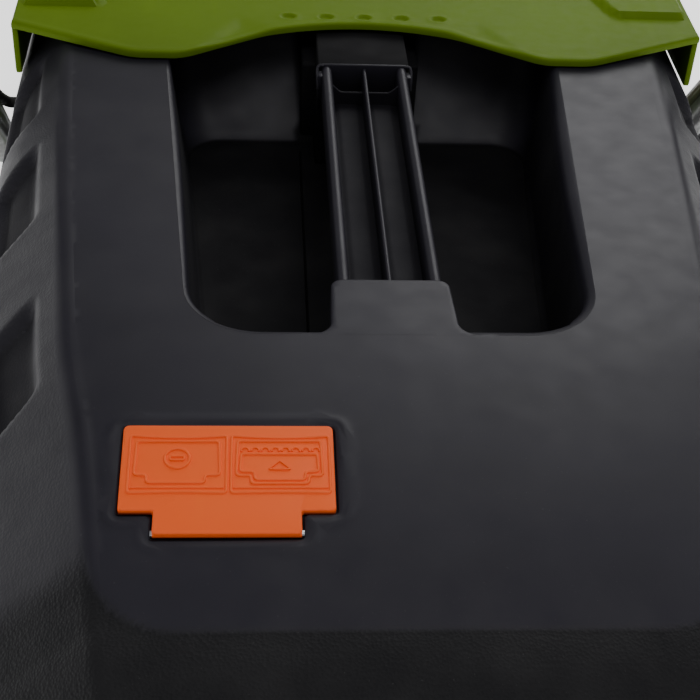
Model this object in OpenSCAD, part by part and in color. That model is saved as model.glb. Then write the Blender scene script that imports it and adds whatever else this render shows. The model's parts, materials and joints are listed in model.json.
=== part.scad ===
// Push lawn mower with a rear grass collector. Millimetres, +Z up, +Y forward.
// Machine coordinates: Y = 0 at the blade's axis, Z = 0 on the ground.
// The collector is drawn in coordinates of its own: origin at the tip of the
// tongue that carries its handle, on the level top panel.

/* [Wheels and axles] */
// Rear wheel diameter
rear_wheel_d = 180; // [170:1:184]
// Front wheel diameter
front_wheel_d = 150; // [140:1:152]
// Tyre width
tyre_w = 40; // [32:1:40]
// Distance of the wheels' inner faces from the middle plane
wheel_x = 198; // [198:1:204]
// Rear wheel centre behind the blade axis
rear_wheel_y = 265; // [260:1:270]
// Front wheel centre ahead of the blade axis
front_wheel_y = 190; // [186:1:194]
// Diameter of the steel axle rods
axle_d = 12; // [10:0.5:12]

/* [Deck] */
// Half width of the deck
deck_a = 200; // [196:1:200]
// Reach of the deck ahead of the blade axis
deck_front = 268; // [266:1:272]
// Height of the deck's top face
deck_top = 150; // [146:1:154]
// Height of the skirt's lower edge
skirt_z = 24; // [20:1:30]
// Cutting diameter
blade_d = 340; // [300:5:344]

/* [Collector] */
// Height of the collector's top panel above the ground
top_z = 362; // [358:1:366]
// Tongue tip behind the blade axis
tongue_y = 570; // [566:1:574]
// Half width at the shoulder
shoulder = 178; // [174:1:178]
// Depth of the handle well
well_depth = 58; // [50:1:62]
// Wall thickness of the moulded shells
wall = 3; // [2.5:0.1:3.2]
// Width of the tongue and of the carry handle
handle_w = 46; // [42:1:50]

/* [Handle] */
// Angle of the handle above level
handle_angle = 49; // [46:1:52]
// Outside diameter of the handle tube
tube_d = 22; // [20:0.5:22]
// Length of the lower handle, pivot to pivot
lower_len = 430; // [420:5:440]
// Length of the upper handle, pivot to cross bar
upper_len = 610; // [580:5:640]

/* [Rear flap] */
// Half width of the flap
flap_half = 177; // [174:1:177]
// Thickness of the flap plate
flap_t = 3.8; // [2.5:0.1:4]

/* [Hidden] */
$fn = 48;

// running gap round a pin, and the gap between pieces that only pass each other
run = 0.05;
gap = 0.3;

// axles: each rod runs ahead of its wheels, and its ends are cranked back
crank_back = 55;
crank_drop = 22;
crank_x = wheel_x - 14;
stub_end = wheel_x + tyre_w - 9;
rear_rod = [-rear_wheel_y + crank_back, rear_wheel_d / 2 - crank_drop];
front_rod = [front_wheel_y + crank_back, front_wheel_d / 2 - crank_drop];
link_arm = 45;
link_lean = 22;
link_x = 186;
lever_x = 172;
lever_lean = 44;
lever_len = 172;

// chute: side profile, in machine Y and Z
chute_half = 148;
mouth_high = [-176, top_z - 6];
mouth_low = [-292, 98];
mouth_slope = (mouth_high.y - mouth_low.y) / (mouth_high.x - mouth_low.x);
chute_lip = [-188, 82];
hinge = [-163, top_z - 2];
chute_top = hinge.y - 16;
function mouth_y(z) = mouth_high.x + (z - mouth_high.y) / mouth_slope;
chute_fall = (mouth_low.y - chute_lip.y) / (mouth_low.x - chute_lip.x);
function chute_floor(y) = chute_lip.y + (y - chute_lip.x) * chute_fall;

// handle pivots, in machine Y and Z
handle_x = 217;
upper_x = 191;
fold = [-215, 212];
dir = [-cos(handle_angle), sin(handle_angle)];
joint = fold + lower_len * dir;
grip_end = joint + upper_len * dir;
tube_r = tube_d / 2;
tube_wall = 1.8;
bend_r = 62;

// everything is shifted so that the origin is under the middle of the machine
rear_most = grip_end.x - tube_r - 5;
skirt_flare = 3;
shift = -(deck_front + skirt_flare + rear_most) / 2;

// collector, in its own coordinates
rear_edge = -215;
split = -95;
floor_z = -264;
rear_crease = -165;

charcoal = "#3a393f";
black = "#19191b";
green = "#5f7a26";
orange = "#e0673a";
steel = "#b9bcc0";

// ---------- helpers ----------

// a closed solid through rings that all have the same number of points
module loft(rings) {
    n = len(rings[0]);
    m = len(rings);
    polyhedron(
        points = [for (r = rings) each r],
        faces = [
            [for (i = [0 : n - 1]) i],
            for (k = [0 : m - 2], i = [0 : n - 1])
                each [[k * n + i, (k + 1) * n + i, (k + 1) * n + (i + 1) % n],
                    [k * n + i, (k + 1) * n + (i + 1) % n, k * n + (i + 1) % n]],
            [for (i = [n - 1 : -1 : 0]) (m - 1) * n + i]
        ]);
}

// a round bar between two points
module bar(p, q, r) {
    d = q - p;
    translate(p) rotate([0, acos(d.z / norm(d)), atan2(d.y, d.x)]) cylinder(h = norm(d), r = r);
}

// a round bar along X
module bar_x(x0, x1, yz, r) {
    translate([x0, yz.x, yz.y]) rotate([0, 90, 0]) cylinder(h = x1 - x0, r = r);
}

// a tube of 8 sides swept along a list of points, none of whose steps points square to the handle's plane
module sweep(path, r) {
    last = len(path) - 1;
    loft([for (k = [0 : last])
        let (d = path[min(k + 1, last)] - path[max(k - 1, 0)], t = d / norm(d),
            u0 = cross([0, sin(handle_angle), cos(handle_angle)], t), u = u0 / norm(u0), v = cross(t, u))
        [for (i = [0 : 7]) path[k] + r * (cos(45 * i) * u + sin(45 * i) * v)]]);
}

// a plate drawn in machine Y and Z, between two values of X
module side_plate(x0, x1) {
    translate([x0, 0, 0]) rotate([90, 0, 90]) linear_extrude(x1 - x0) children();
}

function polar_power(v, p) = sign(v) * pow(abs(v), p);
function lerp(a, b, t) = a + (b - a) * t;

module in_collector() {
    translate([0, -tongue_y, top_z]) children();
}

// ---------- deck ----------

// plan outline: blunt in front, rounder behind
function deck_ring(inset, z) = [for (i = [0 : 71])
    let (t = 5 * i, c = cos(t), s = sin(t), p = s > 0 ? 2 / 3 : 2 / 2.4, b = s > 0 ? deck_front : 200)
    [(deck_a - inset) * polar_power(c, p), (b - inset) * polar_power(s, p), z]];

module deck_solid(t = 0, drop = 0) {
    loft([deck_ring(t - skirt_flare, skirt_z - drop), deck_ring(t - skirt_flare, skirt_z + 8),
        deck_ring(t, skirt_z + 12),
        deck_ring(t + 3, deck_top - 26 - t), deck_ring(t + 9, deck_top - 11 - t),
        deck_ring(t + 20, deck_top - 3 - t), deck_ring(t + 32, deck_top - t)]);
}

module chute_profile(t) {
    offset(delta = -t) polygon([[-108, deck_top - 12], [-136, chute_top - 8], [-144, chute_top],
        [mouth_y(chute_top), chute_top], mouth_low, chute_lip, [-120, chute_lip.y]]);
}

module chute_inside() {
    side_plate(-chute_half + wall, chute_half - wall) union() {
        chute_profile(wall);
        polygon([[mouth_y(chute_top) - 10, chute_top - wall], [mouth_y(chute_top) + 1, chute_top - wall],
            mouth_low + [1, wall], mouth_low + [-10, wall]]);
    }
}

module deck_shell() {
    color(green) resize([0, 0, 0]) difference() {
        deck_solid();
        deck_solid(3.5, 2);
        chute_inside();
        translate([0, 0, deck_top - 20]) cylinder(h = 40, r = 40);
        translate([-link_x - 7, -150, 78]) cube([13, 350, 52]);
        for (s = [-1, 1]) {
            translate([s > 0 ? 92 : -200, front_rod.x - 9, 0]) cube([108, 18, front_rod.y + 10]);
            // room for the end of the crank arm at full height
            translate([s > 0 ? crank_x - 10 : -crank_x - 22, front_wheel_y - 12, 0]) cube([32, 30, 46]);
            translate([s * 60, 60, deck_top - 20]) cylinder(h = 40, r = 3, $fn = 24);
            translate([s * 60, -60, deck_top - 20]) cylinder(h = 40, r = 3, $fn = 24);
        }
    }
}

module discharge_chute() {
    color(black) resize([0, 0, 0]) difference() {
        side_plate(-chute_half, chute_half) chute_profile(0);
        chute_inside();
        deck_solid();
    }
    color(black) for (s = [-1, 1]) difference() {
        side_plate(s * 120 - 4, s * 120 + 4)
            polygon([[-150, chute_top - 1], [-176, chute_top - 1],
                [hinge.x - 6, hinge.y + 5], [hinge.x + 6, hinge.y + 5]]);
        bar_x(s * 120 - 6, s * 120 + 6, hinge, 3);
    }
}

module axle_saddles() {
    color(black) {
        for (s = [-1, 1]) difference() {
            side_plate(s * 78 - 6, s * 78 + 6)
                polygon([[front_rod.x - 13, front_rod.y - 11], [front_rod.x + 9, front_rod.y - 11],
                    [front_rod.x + 4, front_rod.y + 30], [200, deck_top - 4], [170, deck_top - 4]]);
            bar_x(s * 78 - 8, s * 78 + 8, front_rod, axle_d / 2 + run);
        }
        for (s = [-1, 1]) difference() {
            side_plate(s * 116 - 7, s * 116 + 7)
                polygon([[rear_rod.x - 13, rear_rod.y - 11], [rear_rod.x + 7.5, rear_rod.y - 11],
                    [rear_rod.x + 7.5, chute_floor(rear_rod.x + 7.5)],
                    [rear_rod.x - 20, chute_floor(rear_rod.x - 20)]]);
            bar_x(s * 116 - 9, s * 116 + 9, rear_rod, axle_d / 2 + run);
        }
    }
}

// notched quadrant beside the lever, on the side of the chute
module height_quadrant() {
    color(black) difference() {
        side_plate(chute_half + gap, lever_x - 7) difference() {
            translate(rear_rod) difference() {
                circle(r = 142, $fn = 96);
                circle(r = 118, $fn = 96);
                for (k = [0 : 5]) rotate(90 - lever_lean + k * lever_lean / 5)
                    translate([142, 0]) circle(r = 3.5, $fn = 24);
            }
            translate([rear_rod.x - 200, 0]) square([200, 400]);
            translate([-400, -200]) square([900, 200 + deck_top + 1]);
        }
    }
}

// steel plate outside the deck, with two spacer bosses and the handle's pivot hole
module handle_bracket(s) {
    module plate() side_plate(s > 0 ? deck_a + 2 : -deck_a - 5, s > 0 ? deck_a + 5 : -deck_a - 2) children();
    color(steel) difference() {
        union() {
            plate() hull() {
                translate([-20, 84]) circle(r = 14);
                translate([-20, 120]) circle(r = 14);
                translate([-90, 150]) circle(r = 16);
            }
            plate() hull() {
                translate([-90, 150]) circle(r = 16);
                translate(fold) circle(r = 17);
            }
            for (z = [84, 120]) let (x = deck_a - 3 * (z - skirt_z - 12) / (deck_top - skirt_z - 38) + run)
                bar_x(s > 0 ? x : -deck_a - 3, s > 0 ? deck_a + 3 : -x, [-20, z], 9);
        }
        bar_x(-300, 300, fold, 4 + run);
        for (z = [84, 120]) bar_x(-300, 300, [-20, z], 3);
    }
}

module handle_bracket_left() {
    handle_bracket(-1);
}

module handle_bracket_right() {
    handle_bracket(1);
}

// ---------- motor ----------

function hood_ring(a, b, z) = [for (i = [0 : 71])
    let (t = 5 * i) [a * polar_power(cos(t), 0.8), b * polar_power(sin(t), 0.8) + 8, z]];

module hood_solid(t) {
    loft([hood_ring(124 - t, 116 - t, deck_top - (t > 0 ? 1 : 0)), hood_ring(120 - t, 112 - t, deck_top + 20),
        hood_ring(114 - t, 106 - t, 240), hood_ring(108 - t, 100 - t, 284),
        hood_ring(98 - t, 92 - t, 310 - t), hood_ring(78 - t, 74 - t, 328 - t),
        hood_ring(52 - t, 50 - t, 337 - t)]);
}

module motor_hood() {
    color(charcoal) resize([0, 0, 0]) difference() {
        hood_solid(0);
        hood_solid(wall);
        for (s = [-1, 1], k = [0 : 6])
            translate([s > 0 ? 90 : -140, -32 + k * 12, 176]) cube([50, 6, 60]);
        translate([-46, -60, 300]) cube([92, 110, 60]);
        bar([-122, -54, 196], [-80, -40, 198], 4.5);
        for (s = [-1, 1]) {
            for (y = [-62, 78]) translate([s * 84, y, 0]) {
                translate([0, 0, 250]) cylinder(h = 80, r = 2.4, $fn = 24);
                translate([0, 0, 295.8]) cylinder(h = 80, r = 5.4, $fn = 24);
            }
        }
    }
}

module hood_vent() {
    color(green) difference() {
        translate([-46 + gap, -60 + gap, 331]) cube([92 - 2 * gap, 110 - 2 * gap, 8]);
        for (k = [0 : 6]) translate([-38, -52 + k * 14.5, 320]) cube([76, 7, 40]);
    }
}

module hood_screws() {
    color(steel) for (x = [-84, 84], y = [-62, 78]) translate([x, y, 296]) {
        cylinder(h = 4, r = 5, $fn = 24);
        translate([0, 0, -20]) cylinder(h = 20.5, r = 2, $fn = 24);
    }
}

module motor_mount() {
    color(steel) difference() {
        translate([0, 0, deck_top]) cylinder(h = 5, r = 88);
        translate([0, 0, deck_top - 1]) cylinder(h = 8, r = 22);
    }
    color(steel) for (x = [-60, 60], y = [-60, 60]) translate([x, y, deck_top - 14]) {
        cylinder(h = 14, r = 2.9, $fn = 24);
        translate([0, 0, 4.6 - gap]) cylinder(h = 5.5, r = 6, $fn = 6);
    }
}

module motor_stator() {
    color("#7c7f84") difference() {
        union() {
            translate([0, 0, 172]) cylinder(h = 58, r = 60, $fn = 64);
            for (z = [168, 230]) translate([0, 0, z]) cylinder(h = 4, r = 52);
        }
        translate([0, 0, 160]) cylinder(h = 80, r = 34.6, $fn = 64);
    }
}

module motor_end_bells() {
    color(steel) {
        difference() {
            translate([0, 0, deck_top + 5]) cylinder(h = 17, r = 64, $fn = 64);
            translate([0, 0, deck_top + 17 - 4]) cylinder(h = 20, r = 58, $fn = 64);
            translate([0, 0, deck_top]) cylinder(h = 20, r = 16);
        }
        difference() {
            translate([0, 0, 230]) cylinder(h = 24, r = 64, $fn = 64);
            translate([0, 0, 229]) cylinder(h = 12, r = 58, $fn = 64);
            translate([0, 0, 229]) cylinder(h = 40, r = 16);
            for (k = [0 : 5]) rotate(60 * k) translate([38, 0, 229]) cylinder(h = 40, r = 9);
        }
    }
}

module bearing(z) {
    translate([0, 0, z]) difference() {
        cylinder(h = 11, r = 16);
        translate([0, 0, -1]) cylinder(h = 13, r = 7.5 + run);
        translate([0, 0, 9.5]) difference() {
            cylinder(h = 2, r = 13.5);
            translate([0, 0, -1]) cylinder(h = 4, r = 10);
        }
    }
}

module shaft_bearings() {
    color(steel) {
        bearing(deck_top + 2);
        bearing(242);
    }
}

module motor_capacitor() {
    color("#d8d8d4") translate([84, 20, deck_top + 5.5]) cylinder(h = 74, r = 16);
    color(black) translate([84, 20, deck_top + 79.5]) cylinder(h = 6, r = 12);
}

// ---------- blade and rotor ----------

module rotor_shaft() {
    color(steel) {
        translate([0, 0, 60]) cylinder(h = 234, r = 7.5);
        translate([0, 0, 44]) cylinder(h = 16, r = 7);
    }
}

module rotor_core() {
    color("#8d9094") difference() {
        union() {
            translate([0, 0, 174]) cylinder(h = 54, r = 34, $fn = 64);
            for (z = [170, 228]) translate([0, 0, z]) cylinder(h = 4, r = 30, $fn = 64);
        }
        translate([0, 0, 160]) cylinder(h = 80, r = 7.5);
    }
}

module cooling_fan() {
    color(black) difference() {
        union() {
            translate([0, 0, 262]) cylinder(h = 3, r = 76, $fn = 64);
            translate([0, 0, 262]) cylinder(h = 22, r = 14);
            for (k = [0 : 9]) rotate(36 * k) translate([12, -1.5, 264]) cube([62, 3, 18]);
        }
        translate([0, 0, 250]) cylinder(h = 50, r = 7.5);
    }
}

module blade_hub() {
    color("#6c6e72") difference() {
        union() {
            translate([0, 0, 36]) cylinder(h = 6, r = 30);
            translate([0, 0, 42]) cylinder(h = 30, r = 15);
            translate([-24, -8, 34]) cube([6, 16, 3]);
            translate([18, -8, 34]) cube([6, 16, 3]);
        }
        translate([0, 0, 44]) cylinder(h = 16, r = 7);
        translate([0, 0, 60]) cylinder(h = 20, r = 7.5);
        translate([0, 0, 30]) cylinder(h = 20, r = 4);
    }
}

// flat bar with sharpened leading edges and raised tails
module blade() {
    half = blade_d / 2;
    color("#55575a") difference() {
        union() {
            intersection() {
                translate([-half, -24, 32]) cube([blade_d, 48, 4]);
                cylinder(h = 80, r = half, $fn = 96);
            }
            for (s = [0, 180]) rotate(s) intersection() {
                translate([half - 70, 21, 32]) rotate([32, 0, 0]) cube([70, 22, 3.5]);
                cylinder(h = 80, r = half, $fn = 96);
            }
        }
        translate([0, 0, 20]) cylinder(h = 30, r = 4.2);
        for (x = [-24.3, 17.7]) translate([x, -8.3, 30]) cube([6.6, 16.6, 10]);
        for (s = [0, 180]) rotate(s) translate([half - 90, -24, 32]) rotate([30, 0, 0])
            translate([0, -10, -10]) cube([100, 12, 10]);
    }
}

module blade_bolt() {
    color(steel) {
        translate([0, 0, 24]) cylinder(h = 5, r = 8, $fn = 6);
        translate([0, 0, 29]) cylinder(h = 3, r = 14);
        translate([0, 0, 32]) cylinder(h = 12, r = 4);
    }
}

// ---------- axles and height adjustment ----------

// cranked axle: rod across the machine, arms at its ends, stubs for the wheels
module cranked_axle(rod, wheel) {
    bar_x(-crank_x, crank_x, rod, axle_d / 2);
    for (s = [-1, 1]) {
        side_plate(s > 0 ? crank_x - 6 : -crank_x, s > 0 ? crank_x : -crank_x + 6) hull() {
            translate(rod) circle(r = 8);
            translate(wheel) circle(r = 8);
        }
        bar_x(s > 0 ? crank_x : -stub_end, s > 0 ? stub_end : -crank_x, wheel, axle_d / 2);
    }
}

function link_pin(rod) = rod + link_arm * [sin(link_lean), cos(link_lean)];

// upright arm that carries the link rod
module link_lever(rod) {
    side_plate(-link_x + 5 + gap, -link_x + 10) hull() {
        translate(rod) circle(r = 9);
        translate(link_pin(rod)) circle(r = 7);
    }
    bar_x(-link_x - 7, -link_x + 6, link_pin(rod), 4);
}

module rear_axle() {
    color(steel) {
        cranked_axle(rear_rod, [-rear_wheel_y, rear_wheel_d / 2]);
        link_lever(rear_rod);
    }
}

module front_axle() {
    color(steel) {
        cranked_axle(front_rod, [front_wheel_y, front_wheel_d / 2]);
        link_lever(front_rod);
    }
}

module axle_clips(wheel) {
    color(steel) for (s = [-1, 1])
        bar_x(s > 0 ? stub_end : -stub_end - 3, s > 0 ? stub_end + 3 : -stub_end, wheel, 9);
}

module rear_axle_clips() {
    axle_clips([-rear_wheel_y, rear_wheel_d / 2]);
}

module front_axle_clips() {
    axle_clips([front_wheel_y, front_wheel_d / 2]);
}

module link_rod() {
    a = link_pin(rear_rod);
    b = link_pin(front_rod);
    color(steel) side_plate(-link_x - 3, -link_x + 3) difference() {
        hull() {
            translate(a) circle(r = 9);
            translate(b) circle(r = 9);
        }
        translate(a) circle(r = 4 + run);
        translate(b) circle(r = 4.6);
    }
}

module height_lever() {
    tip = rear_rod + lever_len * [sin(lever_lean), cos(lever_lean)];
    color(black) side_plate(lever_x - 4, lever_x + 4) difference() {
        hull() {
            translate(rear_rod) circle(r = 11);
            translate(tip) circle(r = 6);
        }
        translate(rear_rod) circle(r = axle_d / 2);
    }
}

module height_knob() {
    tip = rear_rod + (lever_len + 5) * [sin(lever_lean), cos(lever_lean)];
    low = rear_rod + (lever_len - 19) * [sin(lever_lean), cos(lever_lean)];
    color(orange) difference() {
        hull() {
            bar_x(lever_x - 8, lever_x + 8, tip, 12);
            bar_x(lever_x - 8, lever_x + 8, low, 9);
        }
        side_plate(lever_x - 4, lever_x + 4) hull() {
            translate(rear_rod) circle(r = 11);
            translate(tip - 5 * [sin(lever_lean), cos(lever_lean)]) circle(r = 6);
        }
    }
}

// ---------- wheels ----------

module on_stub(s, wheel) {
    translate([s * wheel_x, wheel.x, wheel.y]) rotate([0, 90 * s, 0]) children();
}

module wheel(s, at, d) {
    rim = d / 2 - 15;
    hub = tyre_w - 9 - gap;
    color("#2a2a2c") on_stub(s, at) difference() {
        union() {
            cylinder(h = hub, r = 15);
            difference() {
                translate([0, 0, 4]) cylinder(h = tyre_w - 8, r = rim, $fn = 64);
                translate([0, 0, 14]) cylinder(h = tyre_w, r = rim - 6, $fn = 64);
                translate([0, 0, -1]) cylinder(h = 9, r = rim - 6, $fn = 64);
            }
            for (k = [0 : 9]) rotate(36 * k) translate([13, -2, 13]) cube([rim - 18, 4, 12]);
        }
        translate([0, 0, -1]) cylinder(h = 60, r = axle_d / 2 + run);
        for (k = [0 : 4]) rotate(72 * k + 18) translate([rim * 0.58, 0, -1]) cylinder(h = 60, r = rim * 0.16);
    }
}

module tyre(s, at, d) {
    rim = d / 2 - 15;
    color("#111112") on_stub(s, at) rotate_extrude($fn = 96)
        polygon([[rim, 4], [rim + 4, 0], [d / 2 - 5, 0], [d / 2, 6], [d / 2, tyre_w - 6],
            [d / 2 - 5, tyre_w], [rim + 4, tyre_w], [rim, tyre_w - 4]]);
}

rear_stub = [-rear_wheel_y, rear_wheel_d / 2];
front_stub = [front_wheel_y, front_wheel_d / 2];

module wheel_rear_left() {
    wheel(-1, rear_stub, rear_wheel_d);
}

module wheel_rear_right() {
    wheel(1, rear_stub, rear_wheel_d);
}

module wheel_front_left() {
    wheel(-1, front_stub, front_wheel_d);
}

module wheel_front_right() {
    wheel(1, front_stub, front_wheel_d);
}

module tyre_rear_left() {
    tyre(-1, rear_stub, rear_wheel_d);
}

module tyre_rear_right() {
    tyre(1, rear_stub, rear_wheel_d);
}

module tyre_front_left() {
    tyre(-1, front_stub, front_wheel_d);
}

module tyre_front_right() {
    tyre(1, front_stub, front_wheel_d);
}

// ---------- rear flap ----------

// trailing edge of the flap, in collector coordinates, for a distance from the middle
function trail(x) = let (a = abs(x))
    a < 50 ? lerp(217.5, 207.5, pow(a / 50, 2)) :
    a < 90 ? lerp(207.5, 182, (a - 50) / 40) :
    a < 115 ? 182 :
    lerp(182, 211, (a - 115) / (flap_half - 115));

module flap_outline() {
    polygon([for (i = [0 : 36]) let (x = -flap_half + i * flap_half / 18) [x, trail(x)],
        [flap_half, hinge.x + tongue_y - 12], [-flap_half, hinge.x + tongue_y - 12]]);
}

module rear_flap() {
    z = 0.5;
    y_hinge = hinge.x + tongue_y;
    color(green) in_collector() difference() {
        union() {
            translate([0, 0, z]) linear_extrude(flap_t) flap_outline();
            for (s = [-1, 1]) {
                side_x = s > 0 ? flap_half - 3 : -flap_half;
                translate([side_x, 212, -20]) cube([3, y_hinge - 12 - 212, 20 + z + 1]);
                translate([s * 134 - 32, 292, z + flap_t - 1]) cube([64, 66, 4.5]);
                translate([s * 120 - 14, y_hinge - 14, z]) cube([9, 10, flap_t]);
                translate([s * 120 + 5, y_hinge - 14, z]) cube([9, 10, flap_t]);
                for (x = [s * 120 - 14, s * 120 + 5])
                    translate([x, y_hinge, hinge.y - top_z]) rotate([0, 90, 0]) cylinder(h = 9, r = 7);
            }
            translate([-100, y_hinge - 16, z]) cube([200, 10, flap_t]);
        }
        translate([-200, y_hinge, hinge.y - top_z]) rotate([0, 90, 0]) cylinder(h = 400, r = 3 + run);
        for (k = [-2 : 2])
            translate([19.5 * k + 2, 232, z + flap_t - 1]) cylinder(h = 4, r = 2.6, $fn = 24);
        for (s = [-1, 1]) translate([s * 134, 325, z + flap_t + 0.9]) cylinder(h = 8, r = 7);
        for (s = [-1, 1]) translate([s * 134, 325, -5]) cylinder(h = 30, r = 2.4, $fn = 24);
    }
}

module flap_screws() {
    color(steel) in_collector() for (s = [-1, 1]) translate([s * 134, 325, 0]) {
        translate([0, 0, 5.2]) cylinder(h = 2.2, r = 5, $fn = 24);
        translate([0, 0, 1.4]) cylinder(h = 4, r = 2.4, $fn = 24);
    }
}

module flap_hinge_pin() {
    color(steel) {
        bar_x(-150, 150, hinge, 3);
        for (s = [-1, 1]) bar_x(s > 0 ? 148 : -150, s > 0 ? 150 : -148, hinge, 5);
    }
}

module flap_spring() {
    color(steel) difference() {
        union() {
            for (k = [0 : 7]) bar_x(-20 + 5 * k, -17 + 5 * k, hinge, 6);
            bar_x(-20, 18, hinge, 5);
        }
        bar_x(-30, 30, hinge, 3);
    }
}

// ---------- collector ----------

// half width of the flat top panel
function crease(y) = lookup(y, [[-215, 96], [-165, 106], [-90, 116], [-46, 125], [58, 136.5],
    [104, 141], [180, 148], [400, 151]]);
// half width at the shoulder, with rounded rear corners in plan
function side(y) = y > -150 ? shoulder : shoulder - 65 + sqrt(max(0, 65 * 65 - pow(-150 - y, 2)));
// height of the top along the middle
function crown(y) = y > -30 ? 0 :
    y > rear_crease ? -0.00088 * pow(-30 - y, 2) :
    -16 - 59 * (1 - sqrt(max(0, 1 - pow((rear_crease - y) / 50, 2))));

function half_section(y, t) =
    let (c = min(crease(y), side(y) - 12) - t * 0.6, s = side(y) - t, z = crown(y) - t,
        low = split - (t > 0 ? 1 : 0), sh = max(z - 36, low + 4))
    [[s, low], [s, lerp(low, sh, 0.5)], [s, sh], [s - 2, lerp(sh, z, 0.17)],
        [lerp(s, c, 0.28), lerp(sh, z, 0.4)], [lerp(s, c, 0.7), lerp(sh, z, 0.78)],
        [c + 2, z - 2], [c - 5, z], [c * 0.72, z], [c * 0.36, z], [0, z]];

function section(y, t) = let (h = half_section(y, t), n = len(h))
    [for (p = h) [-p.x, y, p.y], for (i = [n - 2 : -1 : 0]) [h[i].x, y, h[i].y]];

top_stations = [for (k = [0 : 8]) rear_edge + 50 * (1 - cos(k * 90 / 8)),
    -150, -135, -120, -90, -60, -45, -30, 0, 58, 104, 140, 180, 240, 320];

module top_solid(t) {
    ys = [for (y = top_stations) max(y, rear_edge + t), 402];
    loft([for (y = (t > 0 ? [for (i = [1 : len(ys) - 1]) ys[i]] : ys)) section(y, t)]);
}

// everything ahead of the slanted mouth
module beyond_mouth() {
    to_collector = [tongue_y - 5, -top_z];
    past = 60 * [1 / mouth_slope, 1];
    side_plate(-260, 260) polygon([mouth_high + to_collector + past, mouth_low + to_collector - past,
        [600, -400], [600, 100]]);
}

// rounded trapezoid outlines of the handle well
module well_outline(rear, half_rear, front, half_front, r) {
    hull() for (s = [-1, 1]) {
        translate([s * (half_rear - r), rear + r]) circle(r = r, $fn = 40);
        translate([s * (half_front - r), front - r]) circle(r = r, $fn = 40);
    }
}

module well(t, lift) {
    hull() {
        translate([0, 0, lift]) linear_extrude(0.1) offset(delta = t) well_outline(-35, 84, 240, 102, 26);
        translate([0, 0, -well_depth - t]) linear_extrude(0.1) offset(delta = t)
            well_outline(-32, 74, 200, 88, 20);
    }
}

module collector_top() {
    color(charcoal) in_collector() resize([0, 0, 0]) difference() {
        union() {
            difference() {
                union() {
                    difference() {
                        top_solid(0);
                        top_solid(wall);
                    }
                    intersection() {
                        top_solid(0);
                        well(wall, 20);
                    }
                }
                well(0, 2);
            }
            translate([-handle_w / 2, -40, -14]) cube([handle_w, 40, 14]);
            translate([-30, 181, -well_depth - 1]) cube([60, 60, well_depth + 1]);
            intersection() {
                top_solid(0);
                translate([-104, -138, -24]) cube([81, 56, 24]);
            }
        }
        for (s = [-1, 1]) translate([s * (handle_w / 2 + 5), -33, -40]) cylinder(h = 60, r = 5, $fn = 32);
        translate([-101, -124.4, -20]) cube([75, 39.4, 60]);
        translate([-89, -134.4, -20]) cube([51.5, 12, 60]);
        translate([-97, -121, -40]) cube([67, 32, 60]);
        beyond_mouth();
    }
}

function tub_ring(inset, z) = let (r = 58, w = shoulder - inset, back = rear_edge + inset)
    [for (k = [0 : 8]) [w - r + r * cos(-k * 90 / 8), back + r + r * sin(-k * 90 / 8), z],
        for (k = [0 : 8]) [-w + r - r * sin(k * 90 / 8), back + r - r * cos(k * 90 / 8), z],
        [-w, 60, z], [-w, 402, z], [-w * 0.4, 402, z], [w * 0.4, 402, z], [w, 402, z], [w, 60, z]];

module tub_solid(t) {
    top = split - gap;
    low = floor_z + t;
    loft([tub_ring(t, top + (t > 0 ? 1 : 0)), tub_ring(1 + t, top - 6), tub_ring(3 + t, -140),
        tub_ring(10 + t, -210), tub_ring(15 + t, low + 24), tub_ring(20 + t, low + 9),
        tub_ring(28 + t, low + 2), tub_ring(36 + t, low)]);
}

module collector_tub() {
    color(black) in_collector() resize([0, 0, 0]) difference() {
        tub_solid(0);
        tub_solid(wall);
        beyond_mouth();
        for (s = [-1, 1], j = [0 : 2], k = [0 : 8])
            translate([s > 0 ? 120 : -220, -120 + k * 30, -150 - j * 30]) cube([100, 18, 14]);
        for (j = [0 : 2], k = [0 : 6]) translate([-105 + k * 30, -230, -150 - j * 30]) cube([18, 60, 14]);
    }
}

// frame round the mouth, parallel to the chute's opening
module collector_mouth() {
    module slab(x, low, high, t0, t1) {
        side_plate(-x, x) polygon([for (p = [[t0, high], [t0, low], [t1, low], [t1, high]])
            lerp(mouth_low, mouth_high, p.y) + [tongue_y - p.x, -top_z]]);
    }
    color(black) in_collector() difference() {
        slab(chute_half + 14, 0.02, 0.985, 1, 4.9);
        slab(chute_half - 12, 0.07, 0.93, 0, 6);
    }
}

module collector_clips() {
    color(black) in_collector() for (s = [-1, 1], y = [-90, 60, 190])
        translate([s > 0 ? shoulder + 0.1 : -shoulder - 4.1, y, split - 14]) cube([4, 24, 26]);
}

// channel bar with two rounded outer ribs, a thin centre rib and end ears
module carry_handle() {
    y0 = gap;
    y1 = 180.6;
    h = handle_w / 2;
    color(charcoal) in_collector() {
        translate([-h + 3, -26, -17.5]) cube([handle_w - 6, y1 + 26, 3]);
        for (s = [-1, 1]) {
            translate([s * (h - 3) - 2.7, y0, -14.5]) cube([5.4, y1 - y0, 12]);
            translate([s * (h - 3), y0, -2.7]) rotate([-90, 0, 0]) cylinder(h = y1 - y0, r = 2.7);
            translate([s * (h + 1.6) - 1.6, y1 - 10, -14]) cube([3.2, 10, 14.5]);
        }
        translate([-0.9, y0, -14.6]) cube([1.8, y1 - y0, 13.6]);
        translate([-h, y1 - 3, -14.6]) cube([handle_w, 3, 15.1]);
        translate([-h + 3, y1 - 15, -14.6]) cube([handle_w - 6, 2, 8]);
    }
}

// the indicator flap lies on the sloping panel, and turns on pins at its tab
ind_hinge = [-130.6, -10.7];
ind_slope = atan(0.00088 * 2 * 75);

module on_panel() {
    translate([0, ind_hinge.x, ind_hinge.y]) rotate([ind_slope, 0, 0]) children();
}

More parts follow.
